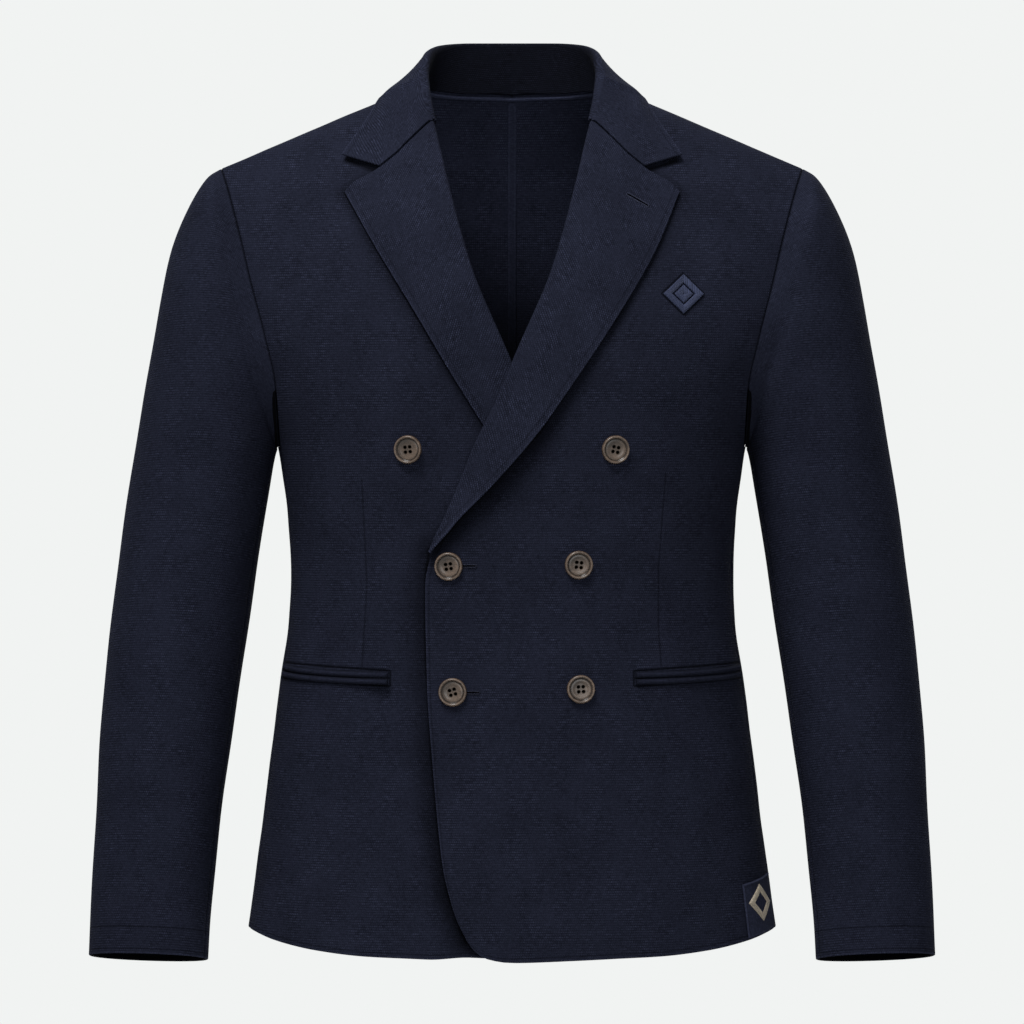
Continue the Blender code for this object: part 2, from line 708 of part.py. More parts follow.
def button_mesh(name):
    """Half the section of a button, from the middle of its top round to that of its back."""
    r, h = BUTTON_RADIUS, BUTTON_HEIGHT
    section = (
        (0.0, 0.56 * h),
        (0.62 * r, 0.56 * h),
        (0.74 * r, 0.86 * h),
        (0.87 * r, h),
        (0.98 * r, 0.72 * h),
        (r, 0.42 * h),
        (0.90 * r, 0.0),
        (0.0, 0.0),
    )
    mesh = bpy.data.meshes.new(name)
    edges = [(i, i + 1) for i in range(len(section) - 1)]
    mesh.from_pydata([(across, 0, up) for across, up in section], edges, [])
    return mesh


def hole_mesh():
    """Four square-set pins that cut the holes."""
    mesh = bpy.data.meshes.new("holes")
    turn = np.arange(8) * pi / 4 + pi / 8
    circle = stack(np.cos(turn), np.sin(turn)) * HOLE_RADIUS
    vertices, faces = [], []
    for sign_x in (-1, 1):
        for sign_y in (-1, 1):
            first = len(vertices)
            for up in (-0.002, 0.006):
                middle = (sign_x * HOLE_SPREAD, sign_y * HOLE_SPREAD)
                vertices += [(*(middle + point), up) for point in circle]
            faces.append(list(range(first + 7, first - 1, -1)))
            faces.append(list(range(first + 8, first + 16)))
            for i in range(8):
                j = (i + 1) % 8
                faces.append([first + i, first + j, first + 8 + j, first + 8 + i])
    mesh.from_pydata(vertices, [], faces)
    return mesh


def make_buttons():
    pins = hole_mesh()
    for number, ((across, height), turn) in enumerate(zip(BUTTONS, BUTTON_TURNS), 1):
        form, out = front_point(abs(across) if number == 1 else across, height)
        spot = form + out * REST / 2
        if number == 1:
            spot = (spot + out * (2.5 * REST - under_by(form))) * np.array([-1, 1, 1])
            out = out * np.array([-1, 1, 1])
        button = place(f"button_{number}", button_mesh(f"button_{number}"), (0.10, 0.075, 0.06), 0.35)
        button.location = spot
        facing = Vector(out).to_track_quat("Z", "Y").to_matrix().to_4x4()
        button.rotation_euler = (facing @ Matrix.Rotation(turn, 4, "Z")).to_euler()
        screw = button.modifiers.new("turned", "SCREW")
        screw.axis = "Z"
        screw.steps = screw.render_steps = 18
        screw.use_merge_vertices = True
        screw.merge_threshold = 0.00005
        cutter = bpy.data.objects.new(f"holes_{number}", pins)
        CUTTERS.objects.link(cutter)
        cutter.location = button.location
        cutter.rotation_euler = button.rotation_euler
        cutter.hide_render = True
        cutter.display_type = "WIRE"
        cut = button.modifiers.new("holes", "BOOLEAN")
        cut.operation = "DIFFERENCE"
        cut.object = cutter


PARTS, CUTTERS = collections()
make_fronts()
make_backs()
make_sleeves()
make_collar()
make_lapels()
make_jets()
make_tapes()
make_motif()
make_patch()
make_buttons()
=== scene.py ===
"""Looks of a double-breasted blazer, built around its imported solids.

Metres, +Z up. The front faces -Y and the wearer's left is +X. Every cut piece of cloth is a
thin closed shell on the same form as its solid, drawn as a grid of points that a function
of two parameters gives. The ribs and the twill are carried on each piece's own UV map,
which is in metres along the cloth.
"""

from math import pi

import bpy
import numpy as np
from mathutils import Matrix, Vector


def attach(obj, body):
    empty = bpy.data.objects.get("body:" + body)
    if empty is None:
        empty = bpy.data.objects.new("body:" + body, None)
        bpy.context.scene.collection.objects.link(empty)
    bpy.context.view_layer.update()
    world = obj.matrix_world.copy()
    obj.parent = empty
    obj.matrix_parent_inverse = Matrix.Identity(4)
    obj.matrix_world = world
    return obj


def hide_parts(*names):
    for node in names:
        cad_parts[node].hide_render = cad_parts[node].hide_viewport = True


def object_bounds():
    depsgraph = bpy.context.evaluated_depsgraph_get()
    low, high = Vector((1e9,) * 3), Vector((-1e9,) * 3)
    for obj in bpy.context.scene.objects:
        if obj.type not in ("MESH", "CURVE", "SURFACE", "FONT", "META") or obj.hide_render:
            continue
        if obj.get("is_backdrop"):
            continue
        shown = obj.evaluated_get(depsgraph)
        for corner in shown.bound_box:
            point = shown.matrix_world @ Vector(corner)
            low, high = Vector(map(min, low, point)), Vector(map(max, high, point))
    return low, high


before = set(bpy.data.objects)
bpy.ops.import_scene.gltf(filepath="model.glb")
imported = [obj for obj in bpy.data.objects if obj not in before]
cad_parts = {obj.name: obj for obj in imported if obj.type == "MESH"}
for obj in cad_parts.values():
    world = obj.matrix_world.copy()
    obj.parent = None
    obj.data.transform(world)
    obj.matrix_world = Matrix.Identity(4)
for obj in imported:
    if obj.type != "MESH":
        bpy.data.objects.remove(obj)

bl_info = {
    "name": "Double-breasted blazer",
    "version": (1, 0, 0),
    "blender": (4, 5, 0),
    "location": "3D View > Sidebar > Blazer",
    "description": "Builds the cloth, buttons and stage of a double-breasted blazer",
    "category": "Object",
}

# ---------------------------------------------------------------- driving sizes

CLOTH = 0.0020  # thickness of a cut piece
SEAM = 0.0001  # gap between two pieces at a seam
REST = 0.0004  # gap under a piece that lies on another
TAPE = 0.0008  # thickness of tapes, jets and patches
UNDERLAP = 0.0064  # how far the under front lies inside the form, where the top one covers it

SQUARENESS = 2.4  # exponent of the trunk's rings: 2 is an ellipse
SLEEVE_SQUARENESS = 2.1
ARMPIT = -0.278  # height of the bottom of the armholes
RIDGE_TOP = 0.0459  # height at which the shoulder line would meet the middle
RIDGE_SLOPE = 0.4314
RIDGE_EASE = 0.03  # rounds the shoulder line where it crosses the middle
SHOULDER_DROP = 0.24  # below the shoulder line, the height over which the trunk fills out
NECK_HALF = 0.0745  # half width of the neckline at the shoulder seams
NECK_DROP = 0.025  # how far the middle of the back neckline lies under the shoulder line
SIDE_SEAM_FORWARD = 0.027  # the side seams lie this far in front of the sides
HEM_LEVEL = -0.672  # a height near the hem, at which the hem's places are measured
BACK_HEM = -0.662
FOLD_RADIUS = 0.0026  # outer radius of the collar's and the lapels' fold
CREASE_TRIM = FOLD_RADIUS + 0.0014  # the fronts end this far from the crease

BUTTON_RADIUS = 0.0112
HOLE_RADIUS = 0.0010
HOLE_SPREAD = 0.0019
JET_HEIGHT = 0.0048
JET_GAP = 0.0007
CENTRE_TAPE_HALF = 0.0036

EDGE_STEPS = np.array([0, 0.0002, 0.0005, 0.0009, 0.0014, 0.0021, 0.0032])  # rows at an edge
ALL_EDGES = ("top", "bottom", "first", "last")
MIRROR = np.array([-1, 1, 1])

CAMERA_HEIGHT = -0.33
FLOOR_BELOW = 0.75  # how far the floor lies under the hem
FLOOR_RADIUS = 6.0
FLOOR_CLEAR = 1.2  # from the middle, how far the floor is whole
FLOOR_FADE = 2.4  # over this length it then fades out

# Lights: where they are, their size and their power.
LIGHTS = {
    "key light": ((-0.85, -1.75, 2.85), 1.4, 116.0),
    "fill light": ((0.6, -4.4, 0.5), 2.0, 32.0),
    "back light": ((0.6, 3.0, 1.6), 2.0, 30.0),
}

CLOTH_SWELL = 0.0004  # height of the slow unevenness of the fronts and backs
SLEEVE_SWELL = 0.0006
MOTIF_PUFF = 0.0009  # how far the satin stitches rise in the middle of a band
LOZENGE_PUFF = 0.0007

WEAVE_SHADE = 0.33  # the weave's mean shade
EDGE_HIGHLIGHT = 0.0018  # the turned edges carry a painted highlight over this width
HEM_LINE = (0.0036, 0.4, 0.0011)  # a line beside turned edges: its distance, strength and width
SEAM_LINE = (0.0012, 0.7)  # width and strength of the line in the seams
CUFF_LINE = (0.0011, 0.5)
CUFF_SEAM = 0.021  # how far above its edge a sleeve's cuff is sewn

# Grooves drawn on the fronts: their width and strength. The dart's line is a seam and the
# pocket's lines are its seams and painted shade in its opening; the lines at the lapel,
# under the collar's notch, round the motif and along the closing edge are painted shadows.
DRAWN = {
    "dart": (0.0011, 0.5),
    "lapel": (0.0022, 0.85),
    "notch": (0.0036, 0.9),
    "jet": (0.0015, 1.0),
    "jet end": (0.0012, 0.9),
    "motif": (0.0012, 0.8),
    "closing": (0.0022, 0.9),
}
NOTCH_SHADOW = ((0.1300, -0.0516), (0.1005, -0.0632))  # across and height, under the collar's end


def table(columns, *rows):
    """A dict of arrays, one for each named column."""
    return dict(zip(columns.split(), np.array(rows, float).T))


# Half width and depths of the trunk. Above the armpits the width is that of the form the
# armholes are cut from.
TRUNK = table(
    "height half_width front back",
    (-0.700, 0.2160, 0.1240, 0.1380),
    (-0.640, 0.2080, 0.1230, 0.1360),
    (-0.576, 0.1992, 0.1210, 0.1320),
    (-0.512, 0.1912, 0.1190, 0.1260),
    (-0.464, 0.1852, 0.1180, 0.1200),
    (-0.416, 0.1782, 0.1170, 0.1150),
    (-0.376, 0.1768, 0.1180, 0.1160),
    (-0.336, 0.1790, 0.1200, 0.1210),
    (-0.304, 0.1828, 0.1225, 0.1270),
    (-0.278, 0.1868, 0.1240, 0.1310),
    (-0.262, 0.1915, 0.1245, 0.1325),
    (-0.230, 0.2045, 0.1250, 0.1345),
    (-0.191, 0.2275, 0.1250, 0.1350),
    (-0.152, 0.2480, 0.1250, 0.1350),
    (-0.111, 0.2640, 0.1250, 0.1350),
    (-0.055, 0.2780, 0.1250, 0.1350),
    (0.060, 0.2800, 0.1250, 0.1350),
)

# The edge of a front from the neck point to the armpit's height: the crease that the lapel
# turns on. The drop is a share of the way from the shoulder line to the armpit.
CREASE = table(
    "drop across",
    (0.000, 0.0745), (0.123, 0.0620), (0.302, 0.0502), (0.545, 0.0311), (0.785, 0.0006),
    (0.882, -0.0119), (0.952, -0.0228), (1.000, -0.0300),
)

# The same edge below: the rest of the crease, the closing edge and the rounded corner.
CLOSING = table(
    "height across",
    (-0.665, -0.0353), (-0.649, -0.0431), (-0.629, -0.0494), (-0.608, -0.0541), (-0.583, -0.0572),
    (-0.523, -0.0627), (-0.466, -0.0666), (-0.394, -0.0681), (-0.366, -0.0666), (-0.354, -0.0627),
    (-0.336, -0.0541), (-0.311, -0.0431), (-0.278, -0.0300),
)

# The front hem, from the rounded corner to the side.
HEM = table(
    "across height",
    (-0.0353, -0.6650), (-0.0270, -0.6750), (-0.0158, -0.6800), (0.0000, -0.6821), (0.0500, -0.6805),
    (0.0850, -0.6790), (0.1170, -0.6778), (0.1550, -0.6740), (0.1880, -0.6678), (0.2110, -0.6610),
)

# Where the front and back armhole edges lie, from the shoulder point down to the side seam.
ARMHOLE = table(
    "drop front back",
    (0.000, 0.2325, 0.2325), (0.076, 0.2273, 0.2290), (0.275, 0.2157, 0.2205), (0.465, 0.2056, 0.2120),
    (0.640, 0.1952, 0.2030), (0.800, 0.1872, 0.1945), (0.930, 0.1856, 0.1905), (1.000, 0.1848, 0.1868),
)

# Sections of a sleeve from just outside the armhole to the cuff: the ends of each section
# next to the body and away from it, its middle front to back, its half depth, and how far
# its front edge lies above its back edge.
SLEEVE = table(
    "inner_across inner_height outer_across outer_height middle half_depth slant",
    (0.1877, -0.2796, 0.2448, -0.0640, 0.0020, 0.0690, 0.0000),
    (0.1881, -0.2816, 0.2590, -0.0870, 0.0020, 0.0715, 0.0000),
    (0.1889, -0.2842, 0.2718, -0.1190, 0.0020, 0.0715, 0.0000),
    (0.1899, -0.2885, 0.2812, -0.1610, 0.0020, 0.0705, 0.0000),
    (0.1914, -0.2960, 0.2890, -0.2070, 0.0020, 0.0690, 0.0000),
    (0.1938, -0.3100, 0.2968, -0.2520, 0.0020, 0.0670, 0.0000),
    (0.1978, -0.3340, 0.3043, -0.2980, 0.0010, 0.0655, 0.0000),
    (0.2027, -0.3660, 0.3118, -0.3480, 0.0000, 0.0640, 0.0000),
    (0.2085, -0.4060, 0.3183, -0.4000, -0.0020, 0.0620, 0.0000),
    (0.2160, -0.4560, 0.3245, -0.4560, -0.0040, 0.0595, 0.0000),
    (0.2232, -0.5060, 0.3286, -0.5060, -0.0080, 0.0570, 0.0020),
    (0.2300, -0.5560, 0.3312, -0.5560, -0.0130, 0.0540, 0.0040),
    (0.2356, -0.6060, 0.3336, -0.6060, -0.0180, 0.0510, 0.0060),
    (0.2398, -0.6490, 0.3356, -0.6490, -0.0220, 0.0480, 0.0090),
    (0.2422, -0.6860, 0.3366, -0.6830, -0.0250, 0.0455, 0.0124),
)
SEAM_TURN = 0.30  # the sleeve's front seam lies this angle in front of its inner side
BACK_SEAM = 6 / 11  # share of the way down the armhole at which the back seam starts

# The collar, from the middle of the back to the top of the crease. The foot lies on the
# neckline and the edge on the shoulders, both given as a way across and a signed drop from
# the shoulder line: below zero is the back. The fold is a line in space.
COLLAR = table(
    "along fold_across fold_deep fold_height foot_across foot_drop edge_across edge_drop",
    (0.00, 0.0000, 0.0600, 0.0474, 0.0000, -0.0250, 0.0000, -0.0470),
    (0.20, 0.0340, 0.0550, 0.0470, 0.0320, -0.0186, 0.0460, -0.0350),
    (0.40, 0.0570, 0.0360, 0.0440, 0.0590, -0.0078, 0.0825, -0.0170),
    (0.55, 0.0668, 0.0130, 0.0370, 0.0735, -0.0004, 0.1015, -0.0045),
    (0.70, 0.0688, -0.0100, 0.0230, 0.0725, 0.0060, 0.1085, 0.0040),
    (0.85, 0.0666, -0.0310, 0.0020, 0.0680, 0.0200, 0.1190, 0.0195),
    (1.00, 0.0620, -0.0478, -0.0205, 0.0622, 0.0345, 0.1334, 0.0370),
)
NOTCH = (0.1030, -0.0585)  # across and height of the inner corner of the notch
GORGE = (0.0620, -0.0205)  # where the collar's end meets the crease
LAPEL_END = -0.3615  # height at which the lapel has tapered into the closing edge
LAPEL_EDGE = table(
    "height left right",
    (-0.3610, -0.0645, -0.0645), (-0.3550, -0.0594, -0.0594), (-0.3484, -0.0532, -0.0534),
    (-0.3437, -0.0490, -0.0492), (-0.3355, -0.0421, -0.0423), (-0.3090, -0.0158, -0.0165),
    (-0.2680, 0.0201, 0.0185), (-0.2420, 0.0388, 0.0353), (-0.1740, 0.0842, 0.0757),
    (-0.1240, 0.1128, 0.1060), (-0.0785, 0.1315, 0.1315),
)

TWILL = 0.75  # angle of the twill on the collar and lapels

# How the gorge and the lapel's top edge depart from a straight line.
GORGE_LINE = table(
    "share rise",
    (0.00, 0.0000), (0.06, 0.0004), (0.18, -0.0006), (0.31, -0.0020), (0.42, -0.0036), (0.60, -0.0034),
    (0.76, -0.0008), (0.89, 0.0016), (1.00, 0.0000),
)
NOTCH_SHARE = 0.60  # share of that line at which the notch's corner lies
COLLAR_STAND_OFF = 0.0042  # how far a collar's tip stands off the front
COLLAR_ROLL = 0.0008  # how far the fall's section bows out

# How far a lapel's edge stands off the front, from the gorge down.
LAPEL_ROLL = table(
    "along left right",
    (0.00, 0.0008, 0.0008), (0.25, 0.0014, 0.0012), (0.50, 0.0032, 0.0020), (0.75, 0.0068, 0.0018),
    (0.92, 0.0050, 0.0010), (1.00, 0.0008, 0.0004),
)

POCKET = {"inner": 0.0962, "outer": 0.1830, "inner_top": -0.4552, "outer_top": -0.4500}

# Across and height of the buttons. The first is on the under front, the others on the top one.
BUTTONS = (
    (-0.0815, -0.2812), (0.0807, -0.2812), (-0.0495, -0.3726), (0.0521, -0.3714), (-0.0463, -0.4709),
    (0.0537, -0.4686),
)
BUTTON_TURNS = (0.1, -0.2, 0.15, -0.1, 0.3, 0.05)

PATCH_LOZENGE = {"across": 0.47, "height": -0.6390, "half_width": 0.37, "half_height": 0.0148}

# The section of a button's face: shares of its radius and heights.
BUTTON_FACE = table(
    "radius height",
    (0.00, 0.00195), (0.40, 0.00200), (0.60, 0.00235), (0.70, 0.00225), (0.745, 0.00200),
    (0.785, 0.00240), (0.84, 0.00335), (0.90, 0.00360), (0.95, 0.00330), (0.985, 0.00240),
    (1.00, 0.00150),
)
HOLE_BAND = 0.0016  # from the middle of a buttonhole to the outside of its stitches
JET_PUFF = 0.0011  # how far a jet swells in its middle
PIPING = {"below": 0.0012, "width": 0.0028, "puff": 0.0008}

# Buttonholes: middle, direction, length and how far they lie off the left front's form.
BUTTONHOLES = table(
    "across height turn length lift",
    (-0.0352, -0.3722, 0.00, 0.0165, 0.0),
    (-0.0327, -0.4712, 0.00, 0.0165, 0.0),
    (0.0982, -0.0862, -0.51, 0.0212, 0.0032),
)

# Darts on the fronts, from the top down, for each side.
DARTS = {
    "left": ((0.1206, -0.3000), (0.1150, -0.3750), (0.1150, -0.4190), (0.1174, -0.4540)),
    "right": ((-0.1178, -0.3056), (-0.1138, -0.3872), (-0.1178, -0.4536)),
}

MOTIF = {"across": 0.1344, "height": -0.1591, "half_width": 0.0160, "half_height": 0.0155}
PATCH = {"inner": 0.1808, "inner_top": -0.6240, "outer_top": -0.6165, "above_hem": 0.0015}
UNDER_HEM_RISE = 0.0030  # how much the under front's hem rises towards its corner

# The closing edge in the front view, across and height.
CLOSING_PATH = (
    (-0.0648, -0.3600), (-0.0672, -0.3800), (-0.0676, -0.4300), (-0.0627, -0.5230), (-0.0572, -0.5830),
    (-0.0494, -0.6290), (-0.0353, -0.6650),
)

# The flat cut of what shows of each piece: its width and length, and its area.
CUTS = {
    "front": {"flat": (0.300, 0.765), "area": 0.168, "held": "hung"},
    "back": {"flat": (0.350, 0.745), "area": 0.181, "held": "hung"},
    "upper_sleeve": {"flat": (0.360, 0.650), "area": 0.155, "held": "hung"},
    "under_sleeve": {"flat": (0.130, 0.500), "area": 0.040, "held": "hung"},
    "collar": {"flat": (0.450, 0.105), "area": 0.0355, "held": "hung"},
    "lapel": {"flat": (0.100, 0.370), "area": 0.0195, "held": "hung"},
}


# ---------------------------------------------------------------- the form


def cubic(t, start, end, slope, end_slope):
    """A cubic between two values with these slopes at its ends, for t from 0 to 1."""
    first = start * (1 + 2 * t) * (1 - t) ** 2 + slope * t * (1 - t) ** 2
    return first + end * t**2 * (3 - 2 * t) + end_slope * t**2 * (t - 1)


def read(rows, key, column, at):
    """A smooth value between the rows of a table: a cubic through them, with no overshoot."""
    x, y = rows[key], rows[column]
    gap = np.diff(x)
    rise = np.diff(y) / gap
    slope = np.empty_like(y)
    slope[0], slope[-1] = rise[0], rise[-1]
    before, after = rise[:-1], rise[1:]
    same = before * after > 0
    slope[1:-1] = np.where(same, 2 * before * after / np.where(same, before + after, 1), 0)
    at = np.clip(at, x[0], x[-1])
    i = np.clip(np.searchsorted(x, at) - 1, 0, len(x) - 2)
    return cubic((at - x[i]) / gap[i], y[i], y[i + 1], slope[i] * gap[i], slope[i + 1] * gap[i])


def ease(t):
    """A smooth step from 0 to 1."""
    t = np.clip(t, 0, 1)
    return t * t * (3 - 2 * t)


def mix(a, b, t):
    return a + (b - a) * t


def power(value, exponent):
    """A power that keeps the value's sign."""
    return np.sign(value) * np.abs(value) ** exponent


def polar(radius, turn, height):
    """Points round the vertical axis."""
    return stack(radius * np.cos(turn), radius * np.sin(turn), height)


def unit(v):
    return v / np.linalg.norm(v, axis=-1, keepdims=True)


def stack(*columns):
    return np.stack(np.broadcast_arrays(*columns), -1).astype(float)


def shoulder(across):
    """Height of the shoulder line."""
    return RIDGE_TOP - RIDGE_SLOPE * np.hypot(across, RIDGE_EASE)


def over_shoulder(across, drop):
    """A point of the trunk above the armpits. The drop is signed: below zero is the back.

    The depth is the ring's depth there, times a share that grows from nothing at the
    shoulder line to the whole at SHOULDER_DROP.
    """
    height = shoulder(across) - np.abs(drop)
    width = read(TRUNK, "height", "half_width", height)
    side = (1 - np.clip(np.abs(across) / width, 0, 1) ** SQUARENESS) ** (1 / SQUARENESS)
    left = 1 - np.clip(np.abs(drop) / SHOULDER_DROP, 0, 1)
    front = -read(TRUNK, "height", "front", height) * (1 - left**1.8) ** (2 / 3)
    back = read(TRUNK, "height", "back", height) * (1 - left**2) ** 0.6
    return stack(across, np.where(drop > 0, front, back) * side, height)


def ring(turn, height):
    """A point of the trunk below the armpits. The turn is 0 in front and pi/2 at the left."""
    across = read(TRUNK, "height", "half_width", height) * power(np.sin(turn), 2 / SQUARENESS)
    deep = power(np.cos(turn), 2 / SQUARENESS)
    depth = [read(TRUNK, "height", name, height) for name in ("front", "back")]
    return stack(across, -deep * np.where(deep > 0, *depth), height)


def normals_over_shoulder(across, drop):
    """Outward normals there, from differences. The root of the drop is even over the ridge."""
    root = np.sign(drop) * np.sqrt(np.abs(drop))
    h, r = 0.0004, 0.006

    def point(x, q):
        return over_shoulder(x, np.sign(q) * q * q)

    side = point(across + h, root) - point(across - h, root)
    down = point(across, root + r) - point(across, root - r)
    return unit(np.cross(down, side))


def normals_of_ring(turn, height):
    h = 0.004
    side = ring(turn + h, height) - ring(turn - h, height)
    up = ring(turn, height + h) - ring(turn, height - h)
    return unit(np.cross(side, up))


def on_ring(turn, height):
    """A point of the trunk below the armpits, and its normal."""
    return ring(turn, height), normals_of_ring(turn, height)


def on_shoulder(across, drop):
    """A point of the trunk above the armpits, and its normal."""
    return over_shoulder(across, drop), normals_over_shoulder(across, drop)


def turn_at(across, height):
    """The turn of a front point of a ring, from its way across."""
    share = across / read(TRUNK, "height", "half_width", height)
    return np.arcsin(power(share, SQUARENESS / 2))


def side_turn(height):
    """The turn of the side seam."""
    share = SIDE_SEAM_FORWARD / read(TRUNK, "height", "front", height)
    return np.arccos(share ** (SQUARENESS / 2))


def neckline_drop(across):
    """How far the back neckline lies under the shoulder line."""
    return NECK_DROP * (1 - np.clip(np.abs(across) / NECK_HALF, 0, 1) ** 1.6)


def crease_at(height):
    """How far across the front edge of the left front lies, at a height."""
    share = np.linspace(0, 1, 200)
    across = read(CREASE, "drop", "across", share)
    down = mix(shoulder(across), ARMPIT, share)
    high = np.interp(height, down[::-1], across[::-1])
    return np.where(height > ARMPIT, high, read(CLOSING, "height", "across", height))


def clear_of_form(points, lift, soft):
    """The points, moved out where they come nearer to the trunk than the lift.

    The push is a smooth maximum of nothing and what they lack, rounded over the soft length.
    """
    x, y, z = points[..., 0], points[..., 1], points[..., 2]
    drop = np.sign(-y) * np.maximum(shoulder(x) - z, 1e-6)
    form, out = on_shoulder(x, drop)
    short = lift - ((points - form) * out).sum(-1, keepdims=True)
    push = (short + np.sqrt(short**2 + soft**2)) / 2
    return points + out * np.minimum(push, 0.01)


def front_point(across, height):
    """A point and its normal on the front of the trunk, from the front view."""
    across, height = np.broadcast_arrays(np.asarray(across, float), height)
    drop = shoulder(across) - height
    above = (height > ARMPIT)[..., None]
    pairs = zip(on_shoulder(across, drop), on_ring(turn_at(across, height), height))
    return [np.where(above, high, low) for high, low in pairs]


def under_by(points):
    """How far inside the form the under front lies, at points of the left front's form."""
    across, height = points[..., 0], points[..., 2]
    covered = -crease_at(height) + 0.008
    near = 1 - ease((across - covered) / 0.065)
    return (UNDERLAP * near * ease((-0.080 - height) / 0.130))[..., None]



def distance_to(x, z, path):
    """Distance in the front view from each point to a path of straight lines."""
    nearest = np.ones(np.shape(x))
    for start, end in zip(path[:-1], path[1:]):
        way = np.subtract(end, start)
        share = ((x - start[0]) * way[0] + (z - start[1]) * way[1]) / (way @ way)
        share = np.clip(share, 0, 1)
        gap = np.hypot(x - start[0] - share * way[0], z - start[1] - share * way[1])
        nearest = np.minimum(nearest, gap)
    return nearest


def lapel_path(side):
    """A lapel's edge in the front view, from its lower end to its tip and the notch."""
    sign = 1 if side == "left" else -1
    edge = zip(sign * LAPEL_EDGE[side], LAPEL_EDGE["height"])
    return [*edge, (sign * NOTCH[0], NOTCH[1])]


# ---------------------------------------------------------------- grids and shells


def graded(length, count):
    """Shares of a length: the edge steps at both ends, and evenly spaced between them."""
    start = EDGE_STEPS / length
    middle = np.linspace(start[-1], 1 - start[-1], count)[1:-1]
    return np.concatenate([start, middle, 1 - start[::-1]])


def graded_last(length, count):
    """Shares of a length with the edge steps at its last end only."""
    shares = graded(length, count)[len(EDGE_STEPS) - 1 :]
    return (shares - shares[0]) / (1 - shares[0])


def run(points, axis):
    """Distance along a grid's rows or columns, measured on the surface from the first point."""
    steps = np.linalg.norm(np.diff(points, axis=axis), axis=-1)
    zero = np.zeros_like(np.take(steps, [0], axis=axis))
    return np.concatenate([zero, np.cumsum(steps, axis=axis)], axis=axis)


def edge_distances(points):
    """Distances to a grid's top, bottom, first and last edge, measured on the surface."""
    down, across = run(points, 0), run(points, 1)
    return dict(zip(ALL_EDGES, (down, down[-1:] - down, across, across[:, -1:] - across)))


def drawn_in(points, **amounts):
    """The grid with edges moved in by these distances, easing out over 8 mm of cloth."""
    away = edge_distances(points)
    directions = {"top": np.gradient(points, axis=0), "first": np.gradient(points, axis=1)}
    directions["bottom"], directions["last"] = -directions["top"], -directions["first"]
    for edge, amount in amounts.items():
        share = np.clip(1 - away[edge] / 0.008, 0, 1)[..., None]
        points = points + unit(directions[edge]) * amount * share
    return points


def grid_normals(points, closed=False):
    """Normals of a grid: the cross product of its differences down and across."""
    if closed:
        side = np.roll(points, -1, 1) - np.roll(points, 1, 1)
    else:
        side = np.gradient(points, axis=1)
    return unit(np.cross(np.gradient(points, axis=0), side))


def folded(away, thickness):
    """How far each face sinks at a turned edge: a quarter circle of half the thickness."""
    radius = thickness / 2
    left = np.clip(1 - away / radius, 0, 1)
    return 0.94 * radius * (1 - np.sqrt(1 - left**2))


def sewn(away):
    """How far the outer face sinks at a seam: a parabola 0.7 mm deep over 2 mm."""
    return 0.0007 * np.clip(1 - away / 0.0020, 0, 1) ** 2


def swell(across, down, seed, size=0.10):
    """A slow unevenness between -1 and 1: a sum of five sine waves in seeded directions."""
    seeds = np.random.default_rng(seed)
    total = 0
    for scale in (1.0, 0.8, 0.6, 0.45, 0.35):
        turn, start = seeds.uniform(0, 2 * pi, 2)
        way = across * np.cos(turn) + down * np.sin(turn)
        total = total + scale * np.sin(2 * pi * way / (size * scale) + start)
    return total / 3.2


def cloth_uv(points):
    """UV in metres: u is the way along a row, v the way up a column from its last row."""
    u, v = run(points, 1), run(points, 0)
    middle = u[:, u.shape[1] // 2][:, None]
    return np.stack([u - middle, v[-1:] - v], -1)


def weighted(edges):
    """Pairs of an edge's name and how much it counts, which is 1 if it isn't given."""
    return [edge if isinstance(edge, tuple) else (edge, 1) for edge in edges]


def nearest_of(away, edges):
    """Distance to the nearest of the edges that are named alone, or 1 m if there is none."""
    alone = [away[edge] for edge in edges if not isinstance(edge, tuple)]
    return np.min(alone, axis=0) if alone else np.ones_like(away["top"])


def shell(
    name, points, normals, uv, thickness=CLOTH, turned=(), seamed=(), relief=0, tone=1, inner_tone=1
):
    """A closed shell between a grid and the same grid moved in by the thickness.

    Turned edges are rounded like a fold, seamed ones dip towards their seam. An edge is
    named in either, or given as a pair of its name and a 0-to-1 grid of how much it counts.
    The painted shades make the outer and the inner face lighter or darker: painted light and shade.
    """
    away = edge_distances(points)
    dip_in = np.zeros(points.shape[:2])
    for edge, share in weighted(turned):
        dip_in = np.maximum(dip_in, folded(away[edge], thickness) * share)
    dip_out = dip_in
    for edge, share in weighted(seamed):
        dip_out = np.maximum(dip_out, sewn(away[edge]) * share)
    outer = points + normals * (relief - dip_out)[..., None]
    inner = points + normals * (relief - thickness + dip_in)[..., None]

    index = np.arange(dip_in.size).reshape(dip_in.shape)
    a, b, c, d = index[:-1, :-1], index[:-1, 1:], index[1:, 1:], index[1:, :-1]
    outside = np.stack([a, d, c, b], -1).reshape(-1, 4)
    inside = np.stack([a, b, c, d], -1).reshape(-1, 4) + index.size
    edge = np.concatenate([index[0, :-1], index[:-1, -1], index[-1, :0:-1], index[:0:-1, 0]])
    after = np.roll(edge, -1)
    rim = np.stack([edge, after, after + index.size, edge + index.size], -1)
    vertices = np.concatenate([outer.reshape(-1, 3), inner.reshape(-1, 3)])
    flat = np.concatenate([uv.reshape(-1, 2)] * 2)
    made = cloth_object(name, vertices, np.concatenate([outside, inside, rim]), flat)

    near, beside = nearest_of(away, turned), nearest_of(away, seamed)
    faces = {"Edge": (near, near), "Seam": (beside, beside), "Painted shade": (tone, inner_tone)}
    for label, values in faces.items():
        layer = made.data.attributes.new(label, "FLOAT", "POINT")
        values = [np.broadcast_to(value, index.shape).ravel() for value in values]
        layer.data.foreach_set("value", np.concatenate(values).astype(np.float32))
    return made


def link_object(name, data):
    """A new object in the scene."""
    made = bpy.data.objects.new(name, data)
    bpy.context.scene.collection.objects.link(made)
    return made


